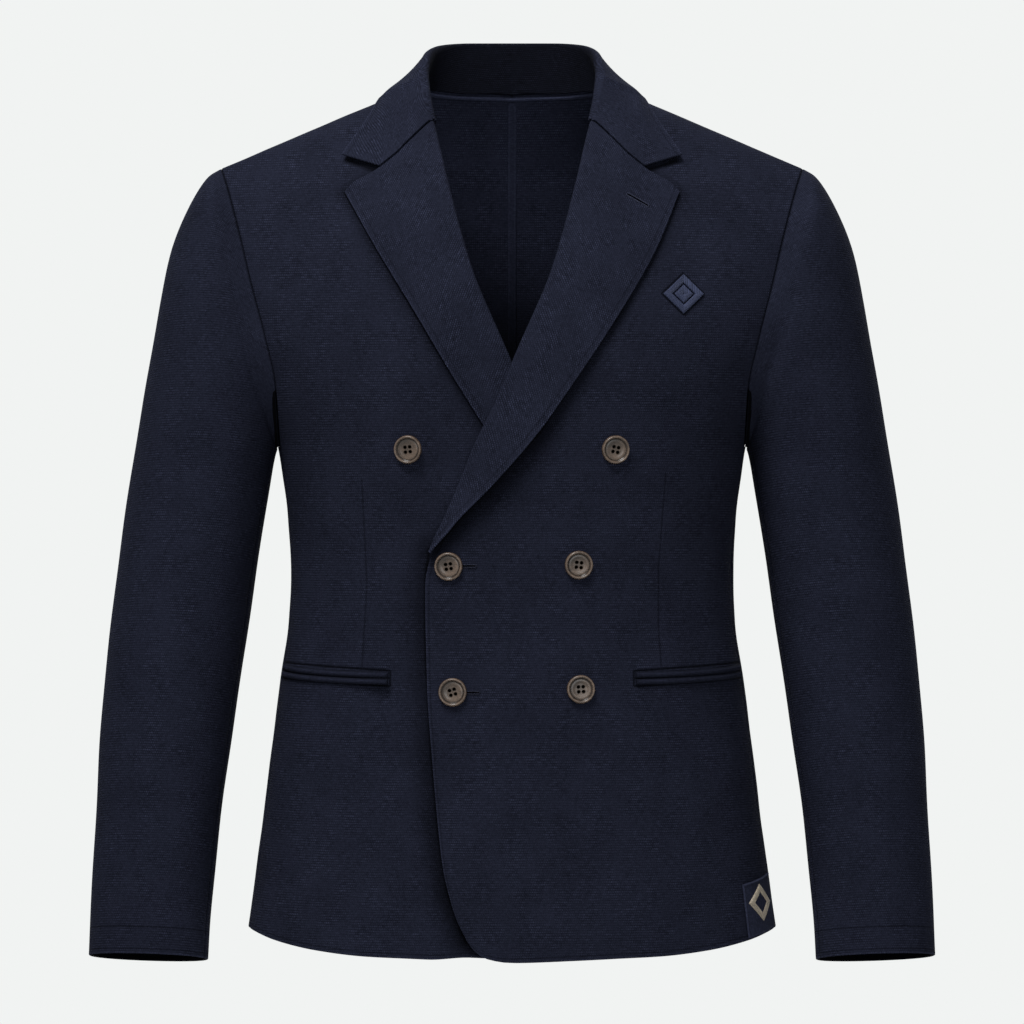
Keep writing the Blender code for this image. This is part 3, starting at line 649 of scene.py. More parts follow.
def cloth_object(name, vertices, faces, uv):
    """An object from arrays of points, four-sided faces and one UV for each point."""
    mesh = bpy.data.meshes.new(name)
    mesh.vertices.add(len(vertices))
    mesh.vertices.foreach_set("co", vertices.ravel().astype(np.float32))
    mesh.loops.add(faces.size)
    mesh.loops.foreach_set("vertex_index", faces.ravel().astype(np.int32))
    mesh.polygons.add(len(faces))
    mesh.polygons.foreach_set("loop_start", np.arange(0, faces.size, 4, dtype=np.int32))
    mesh.update(calc_edges=True)
    layer = mesh.uv_layers.new(name="Cloth")
    layer.data.foreach_set("uv", uv[faces.ravel()].ravel().astype(np.float32))
    mesh.validate()
    mesh.shade_smooth()
    mesh.set_sharp_from_angle(angle=0.8)
    return link_object(name, mesh)


def mirrored(points, *others):
    """The mirror image of a grid and its normals for the wearer's right, and other grids turned."""
    turned = [other[:, ::-1] for other in others]
    turned = [other * MIRROR if other.shape[-1] == 3 else other for other in turned]
    return [points[:, ::-1] * MIRROR, *turned]


def both_sides(*grids):
    """The left's grids, and their mirror images for the wearer's right."""
    yield "left", grids
    yield "right", mirrored(*grids)


SHEETS = {}


def dress(piece, nodes, material, sheet=None, on=None):
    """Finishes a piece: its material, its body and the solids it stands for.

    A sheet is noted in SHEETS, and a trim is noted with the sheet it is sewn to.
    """
    piece.data.materials.append(material)
    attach(piece, "root")
    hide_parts(*nodes)
    if sheet:
        SHEETS[piece.name] = (piece, sheet, [])
    if on:
        SHEETS[on][2].append(piece)


# ---------------------------------------------------------------- surfaces of the pieces


def front_surface(share, under, down):
    """The left front: across it by share, and down it by a drop share and then a height share.

    Above the armpit a row lies at one share of the drop from the shoulder line. Below it a
    row lies at one share of the way down to the hem, and its points are spaced by turn.
    """
    share = share[None, :]
    edge = turn_at(CLOSING["across"][-1] + CREASE_TRIM, ARMPIT)
    armpit = ring(mix(edge, side_turn(ARMPIT), share), ARMPIT)[..., 0]
    spread = (armpit - armpit[:, :1]) / (armpit[:, -1:] - armpit[:, :1])
    under = under[:, None]
    first = read(CREASE, "drop", "across", under) + CREASE_TRIM
    across = mix(first, read(ARMHOLE, "drop", "front", under), spread)
    drop = under * (shoulder(across) - ARMPIT)
    high = over_shoulder(across, drop), normals_over_shoulder(across, np.maximum(drop, 1e-9))

    corner = turn_at(HEM["across"][0], HEM_LEVEL)
    bottom = ring(mix(corner, side_turn(HEM_LEVEL), share), HEM_LEVEL)[..., 0]
    height = mix(ARMPIT, read(HEM, "across", "height", bottom), down[:, None])
    closing = height[:, :1]
    trim = CREASE_TRIM * ease((closing + 0.385) / 0.032)
    left = turn_at(read(CLOSING, "height", "across", closing) + trim, closing)
    turn = mix(left, side_turn(height), share)
    return [np.concatenate([a[:-1], b]) for a, b in zip(high, on_ring(turn, height))]


def back_surface(share, under, down):
    """The left back, from the side seam to the middle, with rows like the front's."""
    share = share[None, :]
    under = under[:, None]
    neck = 0.5  # share at which the shoulder seam ends and the neckline starts
    along_shoulder = mix(ARMHOLE["back"][0], NECK_HALF, share / neck)
    across_top = np.where(share < neck, along_shoulder, NECK_HALF * (1 - share) / (1 - neck))
    armpit = ring(mix(side_turn(ARMPIT), pi, share), ARMPIT)[..., 0]
    below = np.minimum(armpit / armpit[:, :1], np.where(share == 0, 1, 0.99))
    spread = mix(across_top / across_top[:, :1], below, ease(under))
    across = read(ARMHOLE, "drop", "back", under) * spread
    neckline = neckline_drop(across_top)
    drop = neckline + (shoulder(across) - ARMPIT - neckline) * under
    high = over_shoulder(across, -drop), normals_over_shoulder(across, -np.maximum(drop, 1e-9))

    height = mix(ARMPIT, mix(HEM["height"][-1], BACK_HEM, ease(share * 2)), down[:, None])
    turn = mix(side_turn(height), pi, share)
    return [np.concatenate([a[:-1], b]) for a, b in zip(high, on_ring(turn, height))]


def upper_rows(count):
    """Drop shares from the shoulder line to the armpit, close together at both ends."""
    return np.sin(pi / 2 * (1 - graded_last(0.33, count)[::-1]))


def armhole_loop(count):
    """The loop that a sleeve is set into, down the front and up the back, and its normals."""
    steps = np.linspace(0, 1, count + 1)
    under = 0.5 - 0.5 * np.cos(pi * steps)
    only = np.array([0.0, 1.0])
    loops = []
    for before, after in zip(front_surface(only, under, only), back_surface(only, under, only)):
        loops.append(np.concatenate([before[: count + 1, -1], after[count - 1 : 0 : -1, 0]]))
    return loops


def under_arm(loop):
    """A share that grows to 1 at the bottom of the armhole."""
    return ease((-0.20 - loop[:, 2:]) / 0.07)


def through(rows, at):
    """A smooth path through rows of points: a cubic with each row's slope from its neighbours."""
    slope = np.gradient(rows, axis=0)
    i = np.clip(at.astype(int), 0, len(rows) - 2)
    t = (at - i).reshape(-1, *[1] * (rows.ndim - 1))
    return cubic(t, rows[i], rows[i + 1], slope[i], slope[i + 1])


def sleeve_surface(count, rows):
    """The left sleeve: superellipse sections lofted from the armhole's own loop to the cuff.

    A row is a section that starts at the shoulder point and runs down the front.
    """
    loop, out = armhole_loop(count)
    steps = np.arange(count + 1) / count
    turn = np.concatenate([(pi - SEAM_TURN) * steps, 2 * pi - (pi + SEAM_TURN) * steps[-2:0:-1]])
    s, c = [power(wave(turn), 2 / SLEEVE_SQUARENESS) for wave in (np.sin, np.cos)]
    column = {name: values[:, None] for name, values in SLEEVE.items()}
    outward = (1 + c) / 2
    across = mix(column["inner_across"], column["outer_across"], outward)
    height = mix(column["inner_height"], column["outer_height"], outward)
    deep = column["middle"] - column["half_depth"] * s
    sections = stack(across, deep, height + column["slant"] / 2 * s)
    low = under_arm(loop)
    first = loop + unit(sections[0] - loop) * SEAM * (1 - low) + out * SEAM * low
    controls = np.concatenate([first[None], sections])
    last = len(sections)
    between = np.linspace(0.25, last - 0.15, rows)
    at = np.concatenate([EDGE_STEPS / 0.020, between, last - EDGE_STEPS[::-1] / 0.035])
    return through(controls, at), loop, out


def gorge_at(share):
    """Across and height of the gorge and the lapel's top edge, from the crease to the tip."""
    tip = LAPEL_EDGE["left"][-1], LAPEL_EDGE["height"][-1]
    flat = mix(np.array(GORGE), np.array(tip), share[..., None])
    flat[..., 1] += read(GORGE_LINE, "share", "rise", share)
    return flat


def collar_surface(steps, rows):
    """The collar from one end round the neck to the other, and its normals.

    A column is a section: straight up the stand, a half circle round the fold, and down the
    fall. The ends follow the gorge to the notch, and then run to the collar's tips. The last
    result is how far down the fall each row lies.
    """
    along = graded_last(0.26, steps)
    at = {name: read(COLLAR, "along", name, along) for name in COLLAR}
    level = np.where(along < 0.06, 0.03 + along**2 / 0.12, along)  # level at the middle
    at["edge_drop"] = read(COLLAR, "along", "edge_drop", level)
    fold = stack(at["fold_across"], at["fold_deep"], at["fold_height"])
    foot, foot_out = on_shoulder(at["foot_across"], at["foot_drop"])
    edge, edge_out = on_shoulder(at["edge_across"], at["edge_drop"])
    edge = edge + edge_out * mix(0.0008, COLLAR_STAND_OFF, ease((along - 0.72) / 0.28))[:, None]

    outward = unit(fold * np.array([1, 1, 0]) + np.array([0, 0.004, 0]))
    end_out = front_point(fold[-1, 0], fold[-1, 2])[1]
    outward = unit(mix(outward, end_out, ease((along - 0.45) / 0.45)[:, None]))
    upward = unit(np.cross(np.gradient(fold, along, axis=0), outward))
    middle = fold - upward * FOLD_RADIUS
    turn = np.radians(np.linspace(-90, 90, 17))[:, None, None]
    bend = middle + (outward * np.sin(turn) + upward * np.cos(turn)) * FOLD_RADIUS
    foot = foot - foot_out * CLOTH
    stand = mix(foot, bend[0], graded(0.045, rows // 2)[:-1, None, None])

    down = graded(0.07, rows)[1:]
    to_notch = np.clip(down / NOTCH_SHARE, 0, 1)
    start = FOLD_RADIUS / np.linalg.norm(np.array(NOTCH) - np.array(GORGE)) * NOTCH_SHARE
    flat = gorge_at(mix(start, NOTCH_SHARE, to_notch))
    form, out = front_point(flat[..., 0], flat[..., 1])
    past = np.clip((down - NOTCH_SHARE) / (1 - NOTCH_SHARE), 0, 1)[:, None]
    end = mix(form + out * (REST + CLOTH + 0.0002), edge[-1], past)
    down = down[:, None, None]
    fall = mix(bend[-1], edge, down)
    shift = end[:, None] - fall[:, -1:]
    notch_shift = form[-1] + out[-1] * (REST + CLOTH) - mix(bend[-1, -1], edge[-1], NOTCH_SHARE)
    rounded = np.sin(pi * down**1.36) ** 1.5 * notch_shift
    near = ease((along - 0.86) / 0.14)[None, :, None]
    drawn = ease((along - 0.6) / 0.4)[None, :, None]
    fall = fall + mix(rounded, shift, near) * drawn
    roll = COLLAR_ROLL * np.sin(pi * down**0.8) * (1 - near)
    fall = fall + grid_normals(fall) * roll
    resting = ease((along - 0.30) / 0.15) * (1 - ease((along - 0.78) / 0.12))
    resting = resting[None, :, None] * ease((down - 0.65) / 0.35)
    lift = mix(REST + CLOTH, 0.0006, resting)
    fall = clear_of_form(fall, lift, 0.004 * (1 - ease((down - 0.7) / 0.3)) * (1 - near))
    points = np.concatenate([stand, bend, fall])
    points = np.concatenate([points[:, :0:-1] * MIRROR, points], 1)
    fallen = np.concatenate([np.full(len(stand) + len(turn), -1.0), down[:, 0, 0]])
    return points, grid_normals(points), fallen


def lapel_surface(side, rows, columns):
    """A lapel on the left front, its normals and the share of its width at each column.

    A row starts inside the crease, goes half round it on the fold's radius and runs out to
    the lapel's edge, which stands off the front. The top row follows the gorge to the notch
    and the lapel's top edge.
    """
    along = graded(0.40, rows)
    crease_height = mix(GORGE[1], LAPEL_END, along)
    edge_height = mix(LAPEL_EDGE["height"][-1], LAPEL_EDGE["height"][0], along)
    crease = stack(crease_at(crease_height), crease_height)
    crease = crease + (np.array(GORGE) - crease[0]) * ease(1 - along / 0.15)[:, None]
    edge = stack(read(LAPEL_EDGE, "height", side, edge_height), edge_height)
    reach = np.linalg.norm(edge - crease, axis=-1)[:, None]
    toward = unit(edge - crease)[:, None]
    turn = np.radians(np.concatenate([[-90, -89, -86], np.linspace(-80, 90, 17)]))[None, :]
    radius = np.minimum(FOLD_RADIUS, 0.45 * reach)
    nose = radius * (1 - np.cos(turn))
    width = graded_last(0.075, columns)[None, 1:]
    reached = np.concatenate([nose, mix(radius, reach, width)], 1)
    flat = crease[:, None] + toward * reached[..., None]
    rise = read(GORGE_LINE, "share", "rise", np.clip(reached / reach, 0, 1))
    flat[..., 1] += rise * np.clip(1 - along / 0.13, 0, 1)[:, None] ** 2

    top = REST + CLOTH + 0.0002
    share = np.concatenate([np.zeros(turn.size), width[0]])[None, :]
    lift = top - np.concatenate([FOLD_RADIUS * (1 - np.sin(turn)), 0 * width], 1)
    lower = ease(along / 0.3) * ease((1 - along) / 0.35)
    stand_off = read(LAPEL_ROLL, "along", side, along)[:, None]
    roll = 0.0016 * np.sin(pi * share**0.8) * lower[:, None] + stand_off * share**1.5
    form, out = front_point(flat[..., 0], flat[..., 1])
    sunk = under_by(form)[..., 0] if side == "right" else 0
    lift = lift + mix(roll, REST, sunk / UNDERLAP) * np.where(share > 0, 1, 0)
    points = form + out * (lift - sunk)[..., None]
    return points, grid_normals(points), share[0]


# ---------------------------------------------------------------- materials


class Value:
    """An output of a node. Arithmetic with it adds Math nodes to its tree."""

    def __init__(self, tree, socket):
        self.tree, self.socket = tree, socket

    def math(self, operation, *others):
        """A Math node of this value and the others, which are Values or numbers."""
        return output(self.tree, "ShaderNodeMath", dict(enumerate((self, *others))), operation=operation)

    def vector(self, operation, *others):
        """A Vector Math node of this value and the others, which are Values or vectors."""
        inputs = dict(enumerate((self, *others)))
        which = "Value" if operation in ("LENGTH", "DISTANCE", "DOT_PRODUCT") else "Vector"
        return output(self.tree, "ShaderNodeVectorMath", inputs, which, operation=operation)

    def scaled(self, factor, plus=0.0):
        """This value times the factor, plus another value."""
        return self.math("MULTIPLY_ADD", factor, plus)

    def limited(self, low, high):
        return self.math("MAXIMUM", low).math("MINIMUM", high)

    def __add__(self, other):
        return self.math("ADD", other)

    def __sub__(self, other):
        return self.math("SUBTRACT", other)

    def __rsub__(self, other):
        return self.scaled(-1.0, other)

    def __mul__(self, other):
        return self.math("MULTIPLY", other)

    def __truediv__(self, other):
        return self.math("DIVIDE", other)


def feed(entry, value):
    """Links a Value to a socket, or sets the socket's own value."""
    if isinstance(value, Value):
        value.tree.links.new(value.socket, entry)
    else:
        entry.default_value = value


def grow(tree, kind, inputs=None, **settings):
    """A new node with its settings and with its inputs, which are keyed by name or number."""
    node = tree.nodes.new(kind)
    for key, value in settings.items():
        setattr(node, key, value)
    for key, value in (inputs or {}).items():
        feed(node.inputs[key], value)
    return node


def output(tree, kind, inputs=None, which=0, **settings):
    """An output of a new node, as a Value."""
    return Value(tree, grow(tree, kind, inputs, **settings).outputs[which])


def cloth_map(tree):
    return output(tree, "ShaderNodeUVMap", uv_map="Cloth")


def position(tree):
    return output(tree, "ShaderNodeTexCoord", which="Object")


def attribute(tree, name):
    return output(tree, "ShaderNodeAttribute", which="Fac", attribute_name=name)


def mapped(vector, **inputs):
    """A vector turned and stretched by a Mapping node."""
    return output(vector.tree, "ShaderNodeMapping", {"Vector": vector, **inputs})


def parts(vector):
    """The three parts of a vector."""
    node = grow(vector.tree, "ShaderNodeSeparateXYZ", {0: vector})
    return [Value(vector.tree, socket) for socket in node.outputs]


def joined(x, y):
    return output(x.tree, "ShaderNodeCombineXYZ", {0: x, 1: y})


def noise(vector, scale, detail=2.0, dimensions="3D", distortion=0.0):
    """Noise from 0 to 1."""
    inputs = {"Vector": vector, "Scale": scale, "Detail": detail, "Distortion": distortion}
    return output(vector.tree, "ShaderNodeTexNoise", inputs, noise_dimensions=dimensions)


def rounded_thread(along):
    """The section of threads laid side by side: 0 at every whole number, 1 half way between."""
    return (along.math("PINGPONG", 0.5) * pi).math("SINE")


def ribbed_weave(vector, rib, thread, slub):
    """Irregular ribs along U with the weft thread crossing them.

    V is cut into ribs of the given width. Each rib's height is a rounded wave, its strength
    drifts along it and from rib to rib, and threads cross it.
    """
    u, v = parts(vector)[:2]
    bend = noise(mapped(vector, Scale=(160, 300, 1)), 1.0, 2.0, "2D")
    ribs = (v + bend.scaled(0.0006, -0.0003)) / rib
    number = ribs.math("FLOOR")
    drift = noise(joined(u * 210.0, number * 3.7), 1.0, 4.0, "2D")
    strength = drift.scaled(1.7, -0.35).limited(0.0, 1.0)
    crossing = (u / thread + number * 0.5).math("PINGPONG", 0.5)
    height = rounded_thread(ribs) * crossing.scaled(1.5, 0.3)
    height = height * (slub * strength + (1.0 - slub))
    worn = noise(vector, 60.0, 2.0, "2D").scaled(4.0, -1.1).limited(0.2, 1.5)
    shade = height * strength.scaled(0.7, 0.7) - WEAVE_SHADE
    return height, shade.scaled(worn, WEAVE_SHADE)


def cloth_fuzz(patch, fibre):
    """Soft patches of lighter and darker cloth, with fine fibres over them, from 0 to 1."""
    place = position(patch.tree)
    return [noise(place, fibre).scaled(0.6, noise(place, patch, 3.0) * 0.4)]


def level_line(value, level, width):
    """A soft groove where a value crosses a level: 1 there, 0 from the width on."""
    away = (value - level).math("ABSOLUTE")
    return [(1.0 - away / width).math("MAXIMUM", 0.0)]


def sewn_line(start, end, width):
    """A soft groove along a straight segment that is seen from the front.

    The mask is 1 on the segment and falls to 0 over the width on either side of it.
    """
    way = end.vector("SUBTRACT", start)
    here = position(width.tree).vector("MULTIPLY", (1, 0, 1)).vector("SUBTRACT", start)
    share = here.vector("DOT_PRODUCT", way) / way.vector("DOT_PRODUCT", way)
    nearest = {0: way, "Scale": share.limited(0.0, 1.0)}
    nearest = output(width.tree, "ShaderNodeVectorMath", nearest, operation="SCALE")
    near = (1.0 - here.vector("DISTANCE", nearest) / width).math("MAXIMUM", 0.0)
    return [near.math("SMOOTH_MIN", 1.0, 0.2)]


def satin_stitch(vector, thread):
    """Rows of close threads along V, each a rounded ridge, with uneven shade from 0 to 1."""
    along = parts(vector)[0] / thread
    number = {"W": along.math("FLOOR")}
    uneven = output(vector.tree, "ShaderNodeTexWhiteNoise", number, noise_dimensions="1D")
    height = rounded_thread(along)
    return height, height * uneven.scaled(0.4, 0.6)


def horn_streaks(scale):
    """Streaks of horn, which are stretched and bent noise, and its fine grain, from 0 to 1."""
    place = position(scale.tree)
    stretched = mapped(place, Scale=(200, 200, 420), Rotation=(0.3, 0.5, 0.0))
    return noise(stretched, scale, distortion=0.8), noise(place, 2600.0)


# The node groups: what they do, their inputs with defaults, None for a vector, and outputs.
GROUPS = {
    "Ribbed weave": (
        ribbed_weave,
        {"Vector": None, "Rib": 0.0016, "Thread": 0.0007, "Slub": 0.6},
        ["Height", "Shade"],
    ),
    "Cloth fuzz": (cloth_fuzz, {"Patch": 28.0, "Fibre": 560.0}, ["Shade"]),
    "Level line": (level_line, {"Value": 0.0, "Level": 0.0, "Width": 0.001}, ["Mask"]),
    "Sewn line": (sewn_line, {"From": None, "To": None, "Width": 0.001}, ["Mask"]),
    "Satin stitch": (satin_stitch, {"Vector": None, "Thread": 0.0005}, ["Height", "Shade"]),
    "Horn streaks": (horn_streaks, {"Scale": 1.0}, ["Shade", "Grain"]),
}


def new_group(name):
    """A node group with its named sockets, filled by its function of Values."""
    fill, inputs, outputs = GROUPS[name]
    tree = bpy.data.node_groups.new(name, "ShaderNodeTree")
    for label, default in inputs.items():
        kind = "NodeSocketVector" if default is None else "NodeSocketFloat"
        socket = tree.interface.new_socket(label, in_out="INPUT", socket_type=kind)
        if default is not None:
            socket.default_value = default
    for label in outputs:
        tree.interface.new_socket(label, in_out="OUTPUT", socket_type="NodeSocketFloat")
    start, end = tree.nodes.new("NodeGroupInput"), tree.nodes.new("NodeGroupOutput")
    made = fill(*(Value(tree, start.outputs[label]) for label in inputs))
    for label, value in zip(outputs, made):
        feed(end.inputs[label], value)
    return tree


def group_values(tree, name, inputs=None):
    """The outputs of a node of a group, which is made when it is first asked for."""
    group = bpy.data.node_groups.get(name) or new_group(name)
    node = grow(tree, "ShaderNodeGroup", inputs, node_tree=group)
    return [Value(tree, node.outputs[label]) for label in GROUPS[name][2]]


def level_mask(value, level, width):
    """The mask of a line where a value crosses a level."""
    return group_values(value.tree, "Level line", {"Value": value, "Level": level, "Width": width})[0]


def fuzz(tree, **inputs):
    """The shade of cloth fuzz."""
    return group_values(tree, "Cloth fuzz", inputs)[0]


def new_material(name, roughness, specular=0.04):
    """A material with its tree and its Principled shader."""
    made = bpy.data.materials.new(name)
    made.use_nodes = True
    shader = made.node_tree.nodes["Principled BSDF"]
    shader.inputs["Roughness"].default_value = roughness
    shader.inputs["Specular IOR Level"].default_value = specular
    return made, made.node_tree, shader


def tinted(tree, colour, shade, shader):
    """Links a colour times a shade to a shader's base colour."""
    inputs = {0: colour, "Scale": shade}
    feed(shader.inputs["Base Color"], output(tree, "ShaderNodeVectorMath", inputs, operation="SCALE"))


def raised(tree, height, shader, strength=0.6, distance=0.0004):
    """Links a height in shares of the distance to a shader's normal."""
    inputs = {"Height": height, "Strength": strength, "Distance": distance}
    feed(shader.inputs["Normal"], output(tree, "ShaderNodeBump", inputs))


def mixed(tree, share, first, second, out):
    """Links two shaders, mixed by a share from 0 to 1, to an output node."""
    inputs = {0: share, 1: Value(tree, first.outputs[0]), 2: Value(tree, second.outputs[0])}
    feed(out.inputs["Surface"], output(tree, "ShaderNodeMixShader", inputs))


def cloth_material(
    name, colour, rib, thread, slub=0.6, contrast=1.05,
    turn=0.0, level=False, segments=(), cuff=0.0, edge=HEM_LINE,
):
    """Woven cloth. The weave's UV is turned by the angle, or its ribs are kept level.

    Grooves are drawn along the front view's segments, given as pairs of points, a width and
    a strength, along the cuff's seam at that height of the UV map, beside the turned edges
    at the given distance, strength and width, and in the seams. Some segments are painted
    shadows. The turned edges themselves carry a painted highlight, and the painted-shade
    attribute makes the faces lighter or darker as painted light and shade.
    """
    made, tree, shader = new_material(name, 0.95)
    uv = cloth_map(tree)
    u, v = parts(uv)[:2]
    if level:
        uv = joined(u, parts(position(tree))[2])
    inputs = {"Vector": mapped(uv, Rotation=(0, 0, turn)), "Rib": rib, "Thread": thread, "Slub": slub}
    height, weave = group_values(tree, "Ribbed weave", inputs)

    away, (distance, strength, width) = attribute(tree, "Edge"), edge
    groove_and_shadow = level_mask(away, distance, width) * strength
    masks = [level_mask(attribute(tree, "Seam"), 0.0, SEAM_LINE[0]) * SEAM_LINE[1]]
    for start, end, width, strength in segments:
        inputs = {"From": (start[0], 0, start[1]), "To": (end[0], 0, end[1]), "Width": width}
        masks.append(group_values(tree, "Sewn line", inputs)[0] * strength)
    if cuff:
        masks.append(level_mask(v, cuff, CUFF_LINE[0]) * CUFF_LINE[1])
    for mask in masks:
        groove_and_shadow = groove_and_shadow.math("MAXIMUM", mask)

    lift = weave.scaled(contrast, 0.95 - WEAVE_SHADE * contrast)
    # A painted highlight along the turned edges.
    rim = away.scaled(-1 / EDGE_HIGHLIGHT, 1.0).math("MAXIMUM", 0.0).scaled(0.8, 1.0)
    # The painted-shade attribute carries painted light and shade.
    shade = lift * fuzz(tree).scaled(1.5, 0.25) * rim * attribute(tree, "Painted shade")
    # The drawn lines darken the colour: dark seams, and painted shadows.
    tinted(tree, colour, shade * groove_and_shadow.scaled(-0.9, 1.0), shader)
    raised(tree, groove_and_shadow.scaled(-2.2, height), shader)
    return made


def satin_material(name, colour, thread=0.0005):
    """Embroidery: close threads across a band, a little glossy along them."""
    made, tree, shader = new_material(name, 0.5, 0.15)
    inputs = {"Vector": cloth_map(tree), "Thread": thread}
    height, shade = group_values(tree, "Satin stitch", inputs)
    tinted(tree, colour, shade.scaled(1.3, 0.15) * fuzz(tree, Patch=300.0).scaled(0.8, 0.6), shader)
    raised(tree, height, shader, 0.8, 0.0002)
    return made


def horn_material(name, colour):
    """Brown-grey horn: streaked, with a painted highlight on the rim and painted shade in the groove
    beside it.

    The UV map holds the way from the middle, so its length is the radius. The dished face
    is painted lighter towards one side, as light falls on it, and the holes are painted
    black as shade.
    """
    made, tree, shader = new_material(name, 0.27, 0.5)
    uv = cloth_map(tree)
    radius = uv.vector("LENGTH")
    shade, grain = group_values(tree, "Horn streaks")
    # Painted shade in the groove, and a painted highlight on the rim.
    groove_and_shadow = level_mask(radius, 0.752 * BUTTON_RADIUS, 0.0007)
    rim = level_mask(radius, 0.90 * BUTTON_RADIUS, 0.0012)
    face = radius.math("LESS_THAN", 0.77 * BUTTON_RADIUS)
    # Painted light: the face grows lighter towards one side.
    lit = uv.vector("DOT_PRODUCT", (56.0, -70.0, 0.0)).scaled(face, 1.0)
    shade = shade.scaled(1.9, 0.05) * rim.scaled(0.6, 1.0) * groove_and_shadow.scaled(-0.95, 1.0) * lit
    tinted(tree, colour, shade, shader)
    raised(tree, grain, shader, 0.05, 0.0001)
    # The holes are painted black: painted shade.
    from_hole = uv.vector("ABSOLUTE").vector("DISTANCE", (HOLE_SPREAD, HOLE_SPREAD, 0))
    holes = (level_mask(from_hole, 0.0, 1.9 * HOLE_RADIUS) * 2.2).math("MINIMUM", 1.0)
    dark = grow(tree, "ShaderNodeBsdfDiffuse", {"Color": (0.001, 0.001, 0.001, 1)})
    mixed(tree, holes, shader, dark, tree.nodes["Material Output"])
    return made


def slit_material(name):
    """The dark inside of a buttonhole: a near-black band of painted shade in the slit."""
    made, tree, shader = new_material(name, 1.0, 0.0)
    tinted(tree, (0.002, 0.002, 0.003), fuzz(tree, Fibre=3000.0) * 1.6, shader)
    return made


def floor_material(name, colour):
    """A pale floor that fades out towards its border."""
    made, tree, shader = new_material(name, 0.9)
    shader.inputs["Base Color"].default_value = (*colour, 1)
    reach = position(tree).vector("MULTIPLY", (1, 1, 0)).vector("LENGTH")
    fade = reach.scaled(1 / FLOOR_FADE, -FLOOR_CLEAR / FLOOR_FADE).limited(0.0, 1.0)
    clear = grow(tree, "ShaderNodeBsdfTransparent")
    mixed(tree, fade.math("SMOOTH_MIN", 1.0, 0.2), shader, clear, tree.nodes["Material Output"])
    return made


# ---------------------------------------------------------------- small pieces


def jet_surface(start):
    """A pocket jet on the left front, its normals and how far it puffs out.

    Its rows follow the pocket's slope, and the puff is a half wave from edge to edge.
    """
    ends = turn_at(np.array([POCKET["inner"], POCKET["outer"]]), POCKET["inner_top"])
    share = graded(0.088, 90)[None, :]
    down = np.linspace(0, 1, 17)[:, None]
    top = mix(POCKET["inner_top"], POCKET["outer_top"], share**1.5)
    height = top - start - JET_HEIGHT * down
    turn = mix(*ends, share)
    form, out = on_ring(turn, height)
    puff = JET_PUFF * np.sin(pi * down) ** 0.6 * np.clip(share * 60, 0, 1) ** 0.5
    flush = ease((share - 0.86) / 0.14)
    points = form + out * mix(REST + TAPE, 0.0001, flush)[..., None]
    return points, out, puff * (1 - flush)


def piping_surface():
    """The neck seam's piping on the inside of the backs, its normals and its puff."""
    across = np.linspace(-0.067, 0.067, 121)[None, :]
    down = np.linspace(0, 1, 11)[:, None]
    drop = neckline_drop(across) + PIPING["below"] + PIPING["width"] * down
    form, out = over_shoulder(across, -drop), -normals_over_shoulder(across, -drop)
    points = form + out * (CLOTH + REST + TAPE)
    return points, out, PIPING["puff"] * np.sin(pi * down) ** 0.6 + 0 * across


def centre_tape_surface():
    """The strip over the middle seam, on the inside of the backs, and its normals."""
    across = np.linspace(-CENTRE_TAPE_HALF, CENTRE_TAPE_HALF, 15)[None, :]
    high = np.linspace(NECK_DROP + 0.005, shoulder(0.0) - ARMPIT, 60)[:-1, None]
    low = np.linspace(ARMPIT, BACK_HEM + 0.0012, 80)[:, None]
    pairs = zip(on_shoulder(across, -high), on_ring(pi - turn_at(across, low), low))
    form, out = [np.concatenate(pair) for pair in pairs]
    return form - out * (CLOTH + REST + TAPE), -out


def lozenge_surface(half_width, half_height, inner=0.0):
    """Across and height of a lozenge about its middle, as a grid of two shares.

    The second share goes round its four sides, the first from its border to the inner one.
    """
    around = np.linspace(0, 4, 128, endpoint=False)
    corner = around.astype(int)
    along = around - corner
    across, height = np.array([0, 1, 0, -1, 0]), np.array([1, 0, -1, 0, 1])
    x = mix(across[corner], across[corner + 1], along)
    y = mix(height[corner], height[corner + 1], along)
    share = mix(1.0, inner, np.linspace(0, 1, 15))[:, None]
    return np.stack([half_width * x * share, half_height * y * share], -1)


def round_object(name, rows_of, flat, turn_over=False):
    """A mesh from a grid whose rows close round, joined from its last row to its first."""
    rows, columns = rows_of.shape[:2]
    index = np.arange(rows * columns).reshape(rows, columns)
    after = np.roll(index, -1, 1)
    low, low_after = np.roll(index, -1, 0), np.roll(after, -1, 0)
    faces = np.stack([index, after, low_after, low], -1).reshape(-1, 4)
    faces = faces[:, ::-1] if turn_over else faces
    return cloth_object(name, rows_of.reshape(-1, 3), faces, flat.reshape(-1, 2))


def band_object(name, points, out, height, depth, turn_over=False):
    """A closed band: a height field that goes round, with its two borders let down.

    The outer face is raised by the height, and its two borders go down by the depth.
    """
    top = points + out * height[..., None]
    low = points - out * depth
    grid = np.concatenate([low[:1], top, low[-1:]])
    flat = np.stack([run(grid, 1), run(grid, 0)], -1)
    return round_object(name, grid, flat, turn_over)


def button_heights(radius, turn):
    """Height of a button's face: a rolled rim, a groove, a dished middle and four holes."""
    share = radius / BUTTON_RADIUS
    profile = read(BUTTON_FACE, "radius", "height", share)
    x, y = radius * np.cos(turn), radius * np.sin(turn)
    away = np.hypot(np.abs(x) - HOLE_SPREAD, np.abs(y) - HOLE_SPREAD)
    hole = np.minimum((away - HOLE_RADIUS) / 0.0005, 1.0)
    sunk = 1 - ease(hole + 0.4)
    bevel = 0.00025 * (1 - ease((hole - 0.4) / 1.4))
    return profile - bevel - (profile - 0.0004) * sunk


